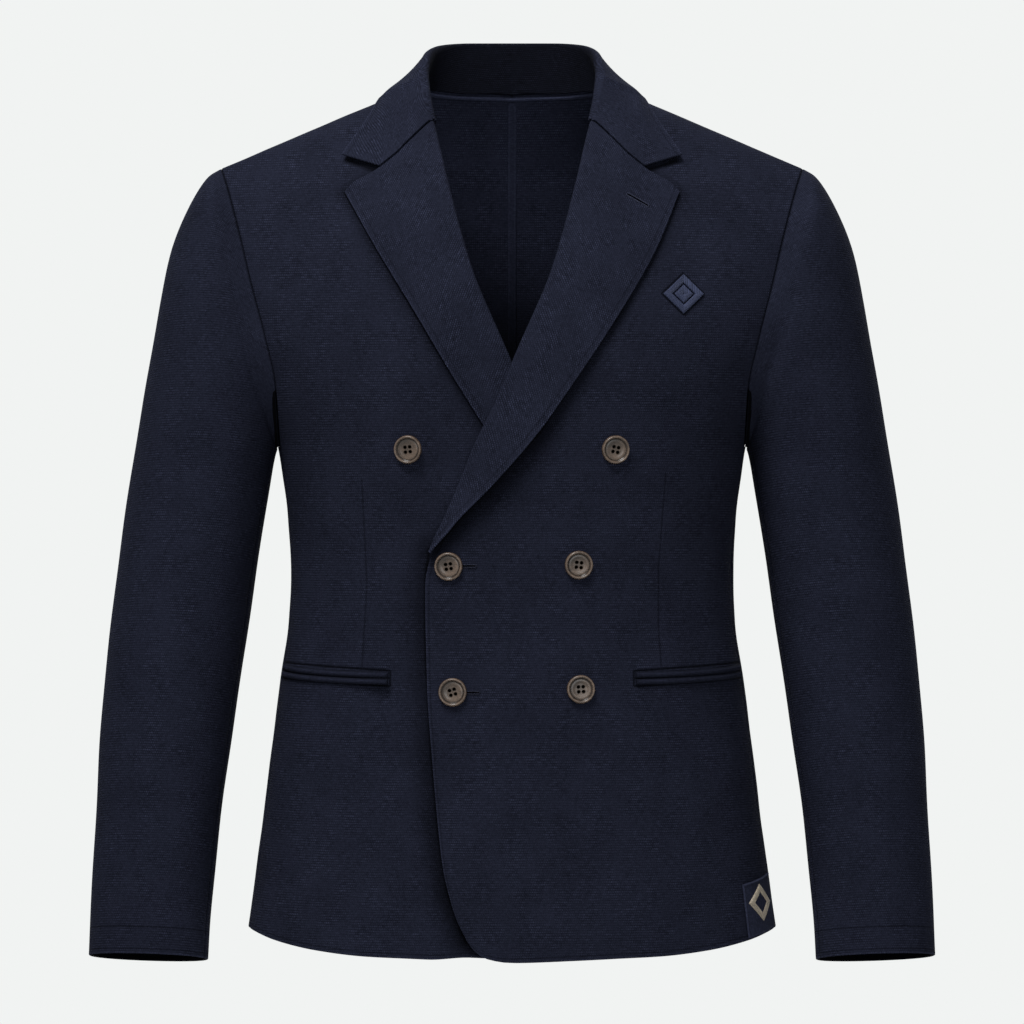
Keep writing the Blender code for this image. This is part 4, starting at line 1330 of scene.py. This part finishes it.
def button_object(name, spot, out, turned):
    """A button as a polar grid over its face, closed by a rounded back."""
    shares = np.concatenate([np.linspace(0.02, 0.42, 34), np.linspace(0.44, 0.985, 26), [0.996, 1.0]])
    radius = shares[:, None] * BUTTON_RADIUS
    turn = np.linspace(0, 2 * pi, 128, endpoint=False)[None, :]
    back = polar(np.array([[0.90], [0.02]]) * BUTTON_RADIUS, turn, 0.0)
    grid = np.concatenate([polar(radius, turn, button_heights(radius, turn)), back])
    frame_of = Vector(out).to_track_quat("Z", "Y").to_matrix()
    rotation = np.array(frame_of @ Matrix.Rotation(turned, 3, "Z"))
    return round_object(name, grid @ rotation.T + spot, grid[..., :2], turn_over=True)


def buttonhole_objects(number, place, toward, length, lift):
    """A worked buttonhole: a long ring of stitches and, inside it, a dark slit of painted shade.

    The ring's section is a half wave, and each stitch adds a ripple. The slit tapers.
    """
    around = np.linspace(0, 2 * pi, 240, endpoint=False)
    right = np.array([np.cos(toward), np.sin(toward)])
    upward = np.array([-np.sin(toward), np.cos(toward)])
    straight = np.clip(1.15 * np.cos(around), -1, 1) * (length / 2 - HOLE_BAND)
    across = np.linspace(1.0, 0.22, 9)[:, None]
    rounded = np.sign(np.cos(around)) * np.sqrt(1 - np.minimum(np.abs(np.sin(around)) / 0.5, 1) ** 2)
    along = straight + HOLE_BAND * across * rounded
    beside = HOLE_BAND * across * np.clip(2 * np.sin(around), -1, 1)
    flat = along[..., None] * right + beside[..., None] * upward
    form, out = front_point(*np.moveaxis(np.array(place) + flat, -1, 0))
    ripple = 0.00012 * np.sin(around * 60)
    height = lift + REST + (0.0006 + ripple) * np.sin(pi * np.linspace(0, 1, 9)[:, None])
    lips = band_object(f"buttonhole_{number}_lips", form, out, height, -lift)

    share = np.linspace(1, 0.02, 4)[:, None]
    taper = 0.62 * HOLE_BAND * share * np.sin(around) * (0.7 - 0.3 * np.cos(around))
    along = straight * share
    flat = along[..., None] * right + taper[..., None] * upward
    form, out = front_point(*np.moveaxis(np.array(place) + flat, -1, 0))
    height = lift + REST + 0.0003 + 0 * taper
    return lips, band_object(f"buttonhole_{number}_slit", form, out, height, -lift)


# ---------------------------------------------------------------- settings


class BlazerSettings(bpy.types.PropertyGroup):
    """Sizes and colours that a user would change."""

    cloth: bpy.props.FloatVectorProperty(
        name="Cloth", description="Colour of the cloth", subtype="COLOR",
        default=(0.0160, 0.0184, 0.0332), min=0, max=1,
    )
    rib: bpy.props.FloatProperty(
        name="Rib",
        description="Distance between two ribs of the weave",
        default=0.00195,
        min=0.0003,
        unit="LENGTH",
        precision=5,
    )
    horn: bpy.props.FloatVectorProperty(
        name="Horn", description="Colour of the buttons", subtype="COLOR",
        default=(0.082, 0.056, 0.040), min=0, max=1,
    )
    thread: bpy.props.FloatVectorProperty(
        name="Chest thread", description="Colour of the embroidery on the chest", subtype="COLOR",
        default=(0.052, 0.064, 0.125), min=0, max=1,
    )
    beige: bpy.props.FloatVectorProperty(
        name="Patch thread", description="Colour of the embroidery on the hem patch", subtype="COLOR",
        default=(0.72, 0.63, 0.50), min=0, max=1,
    )
    backdrop: bpy.props.FloatVectorProperty(
        name="Backdrop", description="Colour of the backdrop", subtype="COLOR",
        default=(0.879, 0.896, 0.888), min=0, max=1,
    )
    camera_distance: bpy.props.FloatProperty(
        name="Camera distance",
        description="How far the camera stands from the blazer",
        default=5.0,
        min=1,
        unit="LENGTH",
    )
    view_width: bpy.props.FloatProperty(
        name="View width",
        description="Width that the camera sees at the blazer",
        default=0.8192,
        min=0.1,
        unit="LENGTH",
    )


def settings():
    return bpy.context.scene.blazer


def navy(times):
    """The cloth's colour made lighter or darker."""
    return [times * value for value in settings().cloth]


MATERIALS = {}


def made_once(name, maker, *values, **named):
    """The material of that name, made when it is first asked for."""
    if name not in MATERIALS:
        MATERIALS[name] = maker(name, *values, **named)
    return MATERIALS[name]


def body_cloth(name="Ribbed navy cloth", level=True, **lines):
    """The cloth of the panels, with the seams and darts that are drawn on it."""
    wanted = {"rib": settings().rib, "thread": 0.0018, "level": level, **lines}
    return made_once(name, cloth_material, settings().cloth, **wanted)


def front_cloth(side):
    """The cloth of a front, with its dart, its pocket's seams and the painted shade in its opening,
    and painted shadows at its lapel, under the collar's notch, and round the motif on the left
    front or along the closing edge on the right front.
    """
    sign = 1 if side == "left" else -1
    inner, outer = sign * POCKET["inner"], sign * POCKET["outer"]
    below = 2 * JET_HEIGHT + JET_GAP
    paths = [("dart", DARTS[side]), ("lapel", lapel_path(side)[::2])]
    for drop in (-0.0007, JET_HEIGHT + JET_GAP / 2, below + 0.0009):  # above, between and below
        line = (inner, POCKET["inner_top"] - drop), (outer, POCKET["outer_top"] - drop)
        paths.append(("jet", line))
    beside = inner - sign * 0.0007
    ends = POCKET["inner_top"] + 0.0005, POCKET["inner_top"] - below - 0.0007
    paths.append(("jet end", [(beside, height) for height in ends]))
    paths.append(("notch", [(sign * across, height) for across, height in NOTCH_SHADOW]))
    if side == "left":
        middle = np.array([MOTIF["across"], MOTIF["height"]])
        size = np.array([MOTIF["half_width"], MOTIF["half_height"]]) * 1.06
        ways = ((0, 1), (1, 0), (0, -1), (-1, 0), (0, 1))
        paths.append(("motif", [middle + size * way for way in ways]))
    else:
        paths.append(("closing", CLOSING_PATH))
    segments = [(*pair, *DRAWN[kind]) for kind, path in paths for pair in zip(path[:-1], path[1:])]
    return body_cloth(f"Ribbed navy cloth, {side} front", segments=segments)


def front_tone(points, side):
    """Painted shadow on a front: darker beside the lapel's edge, and under the top front's edge."""
    x, z = points[..., 0], points[..., 2]

    def shadow(path, reach):
        return np.exp(-((distance_to(x, z, path) / reach) ** 2))

    tone = 1 - 0.5 * shadow(lapel_path(side), 0.006)
    if side == "left":
        return tone * (1 - 0.6 * shadow(lapel_path(side), 0.017) * ease((-0.18 - z) / 0.12))
    return tone * (1 - mix(0.55, 0.8, ease((-0.50 - z) / 0.15)) * shadow(CLOSING_PATH, 0.013))


def twill_cloth(turn):
    """The cloth of the collar and lapels, turned to its own grain."""
    name = f"Navy twill {round(np.degrees(turn))}"
    weave = {"rib": 0.0018, "thread": 0.0018, "slub": 0.5, "turn": turn, "contrast": 1.3}
    return made_once(name, cloth_material, navy(1.06), edge=(0.0048, 0.3, 0.0011), **weave)


def jet_cloth():
    """Fine cloth with darkened edges: dark seams, and painted shade where the jets meet at the pocket's
    opening.
    """
    weave = {"rib": 0.0012, "thread": 0.0007}
    return made_once("Jet cloth", cloth_material, settings().cloth, edge=(0.0, 1.0, 0.0019), **weave)


def tape_cloth(name, times):
    """Finer cloth in a lighter or darker navy."""
    weave = {"rib": 0.0009, "thread": 0.0007, "slub": 0.3}
    return made_once(name, cloth_material, navy(times), edge=(0.0, 0.6, 0.0011), **weave)


def puffed(grid):
    """Heights across a satin band from 0 to 1: a half wave with steep sides."""
    rows, columns = grid.shape[:2]
    return np.sin(pi * np.linspace(0, 1, rows))[:, None] ** 0.5 * np.ones(columns)


def inner_light(points):
    """A share that grows to 1 towards the neck opening, where light falls in."""
    return ease((points[..., 2] + 0.21) / 0.17)


# ---------------------------------------------------------------- operators


def cloth_piece(node, grids, material, cut=None, on=None, **form):
    """A finished shell for one solid: a sheet with its cut, or a trim that is sewn on one."""
    piece = shell(f"{node}_cloth", *grids, **form)
    dress(piece, [node], material, CUTS[cut] if cut else None, on)


class PieceOperator(bpy.types.Operator):
    """Base of the operators: each makes its pieces once and raises an error if it can't."""

    bl_options = {"REGISTER", "UNDO"}

    def execute(self, context):
        self.make(context)
        return {"FINISHED"}


class BLAZER_OT_fronts(PieceOperator):
    """Two fronts that close over each other"""

    bl_idname = "blazer.fronts"
    bl_label = "Fronts"

    def make(self, context):
        grid, normals = front_surface(graded(0.26, 72), upper_rows(90), graded_last(0.39, 96))
        grid = drawn_in(grid, top=SEAM / 2, last=SEAM / 2)
        under = grid - normals * under_by(grid)
        corner = ease((0.066 - under[..., 0]) / 0.034) * ease((-0.60 - under[..., 2]) / 0.08)
        under[..., 2] += UNDER_HEM_RISE * corner
        uv = cloth_uv(grid)
        sides = {"left": (grid, normals, uv), "right": mirrored(under, normals, uv)}
        for side, grids in sides.items():
            closing, side_seam = ("first", "last") if side == "left" else ("last", "first")
            cloth_piece(
                f"front_{side}",
                grids,
                front_cloth(side),
                "front",
                turned=(closing, "bottom"),
                seamed=(side_seam, "top"),
                relief=CLOTH_SWELL * swell(grids[0][..., 0], grids[0][..., 2], 5),
                # Painted shadow beside the lapel's edge and under the top front's edge.
                tone=front_tone(grids[0], side),
            )


class BLAZER_OT_backs(PieceOperator):
    """Two backs joined in the middle"""

    bl_idname = "blazer.backs"
    bl_label = "Backs"

    def make(self, context):
        grid, normals = back_surface(graded(0.30, 72), upper_rows(80), graded_last(0.38, 90))
        grid = drawn_in(grid, top=SEAM / 2, first=SEAM / 2, last=SEAM / 2)
        for side, grids in both_sides(grid, normals, cloth_uv(grid)):
            cloth_piece(
                f"back_{side}",
                grids,
                body_cloth(),
                "back",
                turned=("bottom",),
                seamed=("first", "last", "top"),
                relief=CLOTH_SWELL * swell(grids[0][..., 0], grids[0][..., 2], 7),
                # Painted light inside the backs: lighter towards the neck opening, painted shade lower
                # down.
                inner_tone=mix(0.15, 2.5, inner_light(grids[0])),
            )


class BLAZER_OT_sleeves(PieceOperator):
    """Two-piece sleeves"""

    bl_idname = "blazer.sleeves"
    bl_label = "Sleeves"

    def make(self, context):
        count = 66
        points, loop, loop_out = [grid[..., ::-1, :] for grid in sleeve_surface(count, 190)]
        near = np.exp(-((run(points, 0) / 0.005) ** 2))[..., None]
        normals = mix(grid_normals(points, closed=True), loop_out * (1 - 2 * under_arm(loop)), near)
        normals = unit(normals)
        total = points.shape[1]
        front_seam = total - 1 - count
        back_seam = round(BACK_SEAM * count) - 1
        ranges = {
            "upper": np.arange(front_seam, back_seam + total + 1) % total,
            "under": np.arange(back_seam, front_seam + 1),
        }
        sleeve_cloth = body_cloth("Ribbed navy cloth, sleeves", False, cuff=CUFF_SEAM)
        for name, columns in ranges.items():
            grid = drawn_in(points[:, columns], first=SEAM / 2, last=SEAM / 2)
            for side, grids in both_sides(grid, normals[:, columns], cloth_uv(grid)):
                cloth_piece(
                    f"{name}_sleeve_{side}",
                    grids,
                    sleeve_cloth,
                    f"{name}_sleeve",
                    turned=("bottom",),
                    seamed=("first", "last", "top"),
                    relief=SLEEVE_SWELL * swell(grids[0][..., 1], grids[0][..., 2], 9, 0.16),
                    # Painted shade darkens the sleeves' inner faces.
                    inner_tone=0.08,
                )


class BLAZER_OT_collar(PieceOperator):
    """A collar with a stand, a rolled fold and a fall"""

    bl_idname = "blazer.collar"
    bl_label = "Collar"

    def make(self, context):
        points, normals, fallen = collar_surface(70, 44)
        loose = ease((fallen - NOTCH_SHARE) / 0.04)[:, None] * np.ones(points.shape[1])
        uv = cloth_uv(points)
        grain = np.array([[np.cos(TWILL), -np.sin(TWILL)], [np.sin(TWILL), np.cos(TWILL)]])
        uv[fallen < 0] = uv[fallen < 0] @ grain
        # Painted shade on the inner face of the stand, fading out towards the fold.
        lit = np.arange(len(points)) - ((fallen < 0).sum() - 14)
        cloth_piece(
            "collar",
            (points, normals, uv),
            twill_cloth(TWILL),
            "collar",
            turned=("bottom", ("first", loose), ("last", loose)),
            seamed=(("first", 0.5 * (1 - loose)), ("last", 0.5 * (1 - loose))),
            inner_tone=mix(0.22, 1.0, ease(lit / 8))[:, None],
        )


class BLAZER_OT_lapels(PieceOperator):
    """Notched lapels that roll over the crease"""

    bl_idname = "blazer.lapels"
    bl_label = "Lapels"

    def make(self, context):
        for side in ("left", "right"):
            points, normals, share = lapel_surface(side, 150, 60)
            loose = ease((share - NOTCH_SHARE) / 0.04)[None, :] * np.ones((len(points), 1))
            edge, turn = "last", TWILL
            if side == "right":
                points, normals, loose = mirrored(points, normals, loose)
                edge, turn = "first", -TWILL
            cloth_piece(
                f"lapel_{side}",
                (points, normals, cloth_uv(points)),
                twill_cloth(turn),
                "lapel",
                turned=(edge, ("top", loose), "bottom"),
                seamed=(("top", 0.5 * (1 - loose)),),
            )


class BLAZER_OT_pockets(PieceOperator):
    """Two jets to each hip pocket"""

    bl_idname = "blazer.pockets"
    bl_label = "Pockets"

    def make(self, context):
        for row, start in (("upper", 0.0), ("lower", JET_HEIGHT + JET_GAP)):
            grid, out, puff = jet_surface(start)
            for side, (*grids, relief) in both_sides(grid, out, cloth_uv(grid), puff):
                trim = {"on": f"front_{side}_cloth", "thickness": TAPE, "turned": ALL_EDGES}
                cloth_piece(f"jet_{row}_{side}", grids, jet_cloth(), relief=relief, **trim)


class BLAZER_OT_tapes(PieceOperator):
    """Piping under the neck seam and a strip down the middle of the back, both inside"""

    bl_idname = "blazer.tapes"
    bl_label = "Inside tapes"

    def make(self, context):
        points, out, puff = piping_surface()
        piece = shell("neck_piping", points, out, cloth_uv(points), TAPE, ALL_EDGES, relief=puff)
        dress(piece, ["neck_tape"], tape_cloth("Neck piping", 4.0), on="back_left_cloth")
        points, out = centre_tape_surface()
        # Painted light and shade on the strip: lighter towards the neck opening, darker lower down.
        tone = mix(0.05, 1.0, inner_light(points))
        piece = shell("centre_strip", points, out, cloth_uv(points), TAPE, ALL_EDGES, tone=tone)
        # The strip's navy is made 2.9 times lighter: painted light that falls in at the neck.
        lining = tape_cloth("Centre strip", 2.9)
        dress(piece, ["centre_tape"], lining, on="back_left_cloth")


class BLAZER_OT_motif(PieceOperator):
    """A lozenge in satin stitch on the chest"""

    bl_idname = "blazer.motif"
    bl_label = "Chest motif"

    def make(self, context):
        tonal = made_once("Tonal thread", satin_material, settings().thread, 0.0019)
        for name, outer, inner in (("motif_border", 1.0, 0.56), ("motif_middle", 0.47, 0.02)):
            half = outer * MOTIF["half_width"], outer * MOTIF["half_height"]
            flat = lozenge_surface(*half, inner / outer)
            form, out = front_point(MOTIF["across"] + flat[..., 0], MOTIF["height"] + flat[..., 1])
            height = REST + TAPE + MOTIF_PUFF * puffed(flat)
            piece = band_object(name, form, out, height, -REST, turn_over=True)
            dress(piece, ["chest_motif"], tonal, on="front_left_cloth")


class BLAZER_OT_patch(PieceOperator):
    """A patch at the hem with a stitched lozenge"""

    bl_idname = "blazer.patch"
    bl_label = "Hem patch"

    def make(self, context):
        ends = turn_at(PATCH["inner"], PATCH["inner_top"]), side_turn(HEM_LEVEL)
        share = graded(0.034, 24)[None, :]
        turn = mix(*ends, share)
        hem = read(HEM, "across", "height", ring(turn, HEM_LEVEL)[..., 0]) + PATCH["above_hem"]
        top = mix(PATCH["inner_top"], PATCH["outer_top"], share)
        form, out = on_ring(turn, mix(top, hem, graded(0.046, 30)[:, None]))
        points = form + out * (REST + TAPE)
        away = edge_distances(points)
        piped = np.minimum(away["top"], away["first"])
        rim = 0.0006 * np.exp(-(((piped - 0.0012) / 0.0007) ** 2))
        piece = shell("patch_cloth", points, out, cloth_uv(points), TAPE, ALL_EDGES, relief=rim)
        dress(piece, ["hem_patch"], tape_cloth("Patch cloth", 1.7), on="front_left_cloth")

        flat = lozenge_surface(PATCH_LOZENGE["half_width"], PATCH_LOZENGE["half_height"], 0.55)
        turn = mix(*ends, PATCH_LOZENGE["across"] + flat[..., 0])
        form, out = on_ring(turn, PATCH_LOZENGE["height"] + flat[..., 1])
        height = REST + TAPE + SEAM + LOZENGE_PUFF * puffed(flat)
        mark = band_object("patch_lozenge", form, out, height, -REST, turn_over=True)
        beige = made_once("Beige thread", satin_material, settings().beige)
        dress(mark, ["hem_patch"], beige, on="front_left_cloth")


class BLAZER_OT_buttons(PieceOperator):
    """Six horn buttons with four holes"""

    bl_idname = "blazer.buttons"
    bl_label = "Buttons"

    def make(self, context):
        horn = horn_material("Streaked horn", settings().horn)
        for number, ((across, height), turned) in enumerate(zip(BUTTONS, BUTTON_TURNS), 1):
            form, out = front_point(abs(across) if number == 1 else across, height)
            spot = form + out * REST / 2
            if number == 1:
                spot = (spot + out * (REST - under_by(form))) * MIRROR
                out = out * MIRROR
            button = button_object(f"button_{number}_horn", spot, out, turned)
            dress(button, [f"button_{number}"], horn)


class BLAZER_OT_buttonholes(PieceOperator):
    """Worked buttonholes in the top front and its lapel"""

    bl_idname = "blazer.buttonholes"
    bl_label = "Buttonholes"

    def make(self, context):
        for number, (across, height, turn, length, lift) in enumerate(zip(*BUTTONHOLES.values()), 1):
            node = "lapel_left" if lift else "front_left"
            lips, slit = buttonhole_objects(number, (across, height), turn, length, lift)
            # The lapel's buttonhole thread is made lighter than the front's: painted light on the same
            # thread.
            name, shade = ("Lapel buttonhole thread, painted light", 2.6) if lift else ("Buttonhole thread", 1.5)
            worked = made_once(name, satin_material, navy(shade))
            dress(lips, [node], worked, on=f"{node}_cloth")
            # The slit is a near-black band of painted shade.
            dark = made_once("Buttonhole slit", slit_material)
            dress(slit, [node], dark, on=f"{node}_cloth")


class BLAZER_OT_stage(PieceOperator):
    """Floor, backdrop, lights and camera"""

    bl_idname = "blazer.stage"
    bl_label = "Stage"

    def make(self, context):
        scene = context.scene
        wanted = settings()
        low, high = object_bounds()
        middle = (low[2] + high[2]) / 2

        mesh = bpy.data.meshes.new("floor")
        around = np.linspace(0, 2 * pi, 96, endpoint=False)
        level = low[2] - FLOOR_BELOW
        border = polar(FLOOR_RADIUS, around, level)
        mesh.from_pydata(border.tolist(), [], [tuple(range(96))])
        floor = link_object("floor", mesh)
        floor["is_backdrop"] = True
        mesh.materials.append(floor_material("Pale floor", wanted.backdrop))

        world = scene.world or bpy.data.worlds.new("World")
        scene.world = world
        world.use_nodes = True
        tree = world.node_tree
        tree.nodes.clear()
        seen = grow(tree, "ShaderNodeBackground", {"Color": (*wanted.backdrop, 1), "Strength": 1.0})
        lit = grow(tree, "ShaderNodeBackground", {"Color": (1, 1, 1, 1), "Strength": 0.10})
        rays = grow(tree, "ShaderNodeLightPath").outputs
        rays = [Value(tree, rays[f"Is {kind} Ray"]) for kind in ("Camera", "Glossy", "Transmission")]
        direct = rays[0].math("MAXIMUM", rays[1]).math("MAXIMUM", rays[2])
        mixed(tree, direct, lit, seen, grow(tree, "ShaderNodeOutputWorld"))

        for name, (place, size, watts) in LIGHTS.items():
            light = bpy.data.lights.new(name, "AREA")
            light.size, light.energy = size, watts
            lamp = link_object(name, light)
            lamp.location = place
            aim = Vector((0, 0, middle)) - Vector(place)
            lamp.rotation_euler = aim.to_track_quat("-Z", "Y").to_euler()

        data = bpy.data.cameras.new("camera")
        data.sensor_width = 36
        data.lens = data.sensor_width * wanted.camera_distance / wanted.view_width
        camera = link_object("camera", data)
        camera.location = (0, -wanted.camera_distance, CAMERA_HEIGHT)
        camera.rotation_euler = (pi / 2, 0, 0)
        scene.camera = camera
        scene.view_settings.view_transform = "Standard"


# ---------------------------------------------------------------- add-on

OPERATORS = (
    BLAZER_OT_fronts,
    BLAZER_OT_backs,
    BLAZER_OT_sleeves,
    BLAZER_OT_collar,
    BLAZER_OT_lapels,
    BLAZER_OT_pockets,
    BLAZER_OT_tapes,
    BLAZER_OT_motif,
    BLAZER_OT_patch,
    BLAZER_OT_buttons,
    BLAZER_OT_buttonholes,
    BLAZER_OT_stage,
)


class BLAZER_PT_sidebar(bpy.types.Panel):
    """Lists the operators and settings in the 3D view's sidebar."""

    bl_idname = "BLAZER_PT_sidebar"
    bl_label = "Blazer"
    bl_space_type = "VIEW_3D"
    bl_region_type = "UI"
    bl_category = "Blazer"

    def draw(self, context):
        for name in BlazerSettings.__annotations__:
            self.layout.prop(context.scene.blazer, name)
        for operator in OPERATORS:
            self.layout.operator(operator.bl_idname)


CLASSES = (BlazerSettings, *OPERATORS, BLAZER_PT_sidebar)


def register():
    for cls in CLASSES:
        bpy.utils.register_class(cls)
    bpy.types.Scene.blazer = bpy.props.PointerProperty(type=BlazerSettings)


def unregister():
    del bpy.types.Scene.blazer
    for cls in reversed(CLASSES):
        bpy.utils.unregister_class(cls)


def main():
    register()
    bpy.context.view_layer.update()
    for operator in OPERATORS:
        group, name = operator.bl_idname.split(".")
        getattr(getattr(bpy.ops, group), name)()


if __name__ == "__main__":
    main()
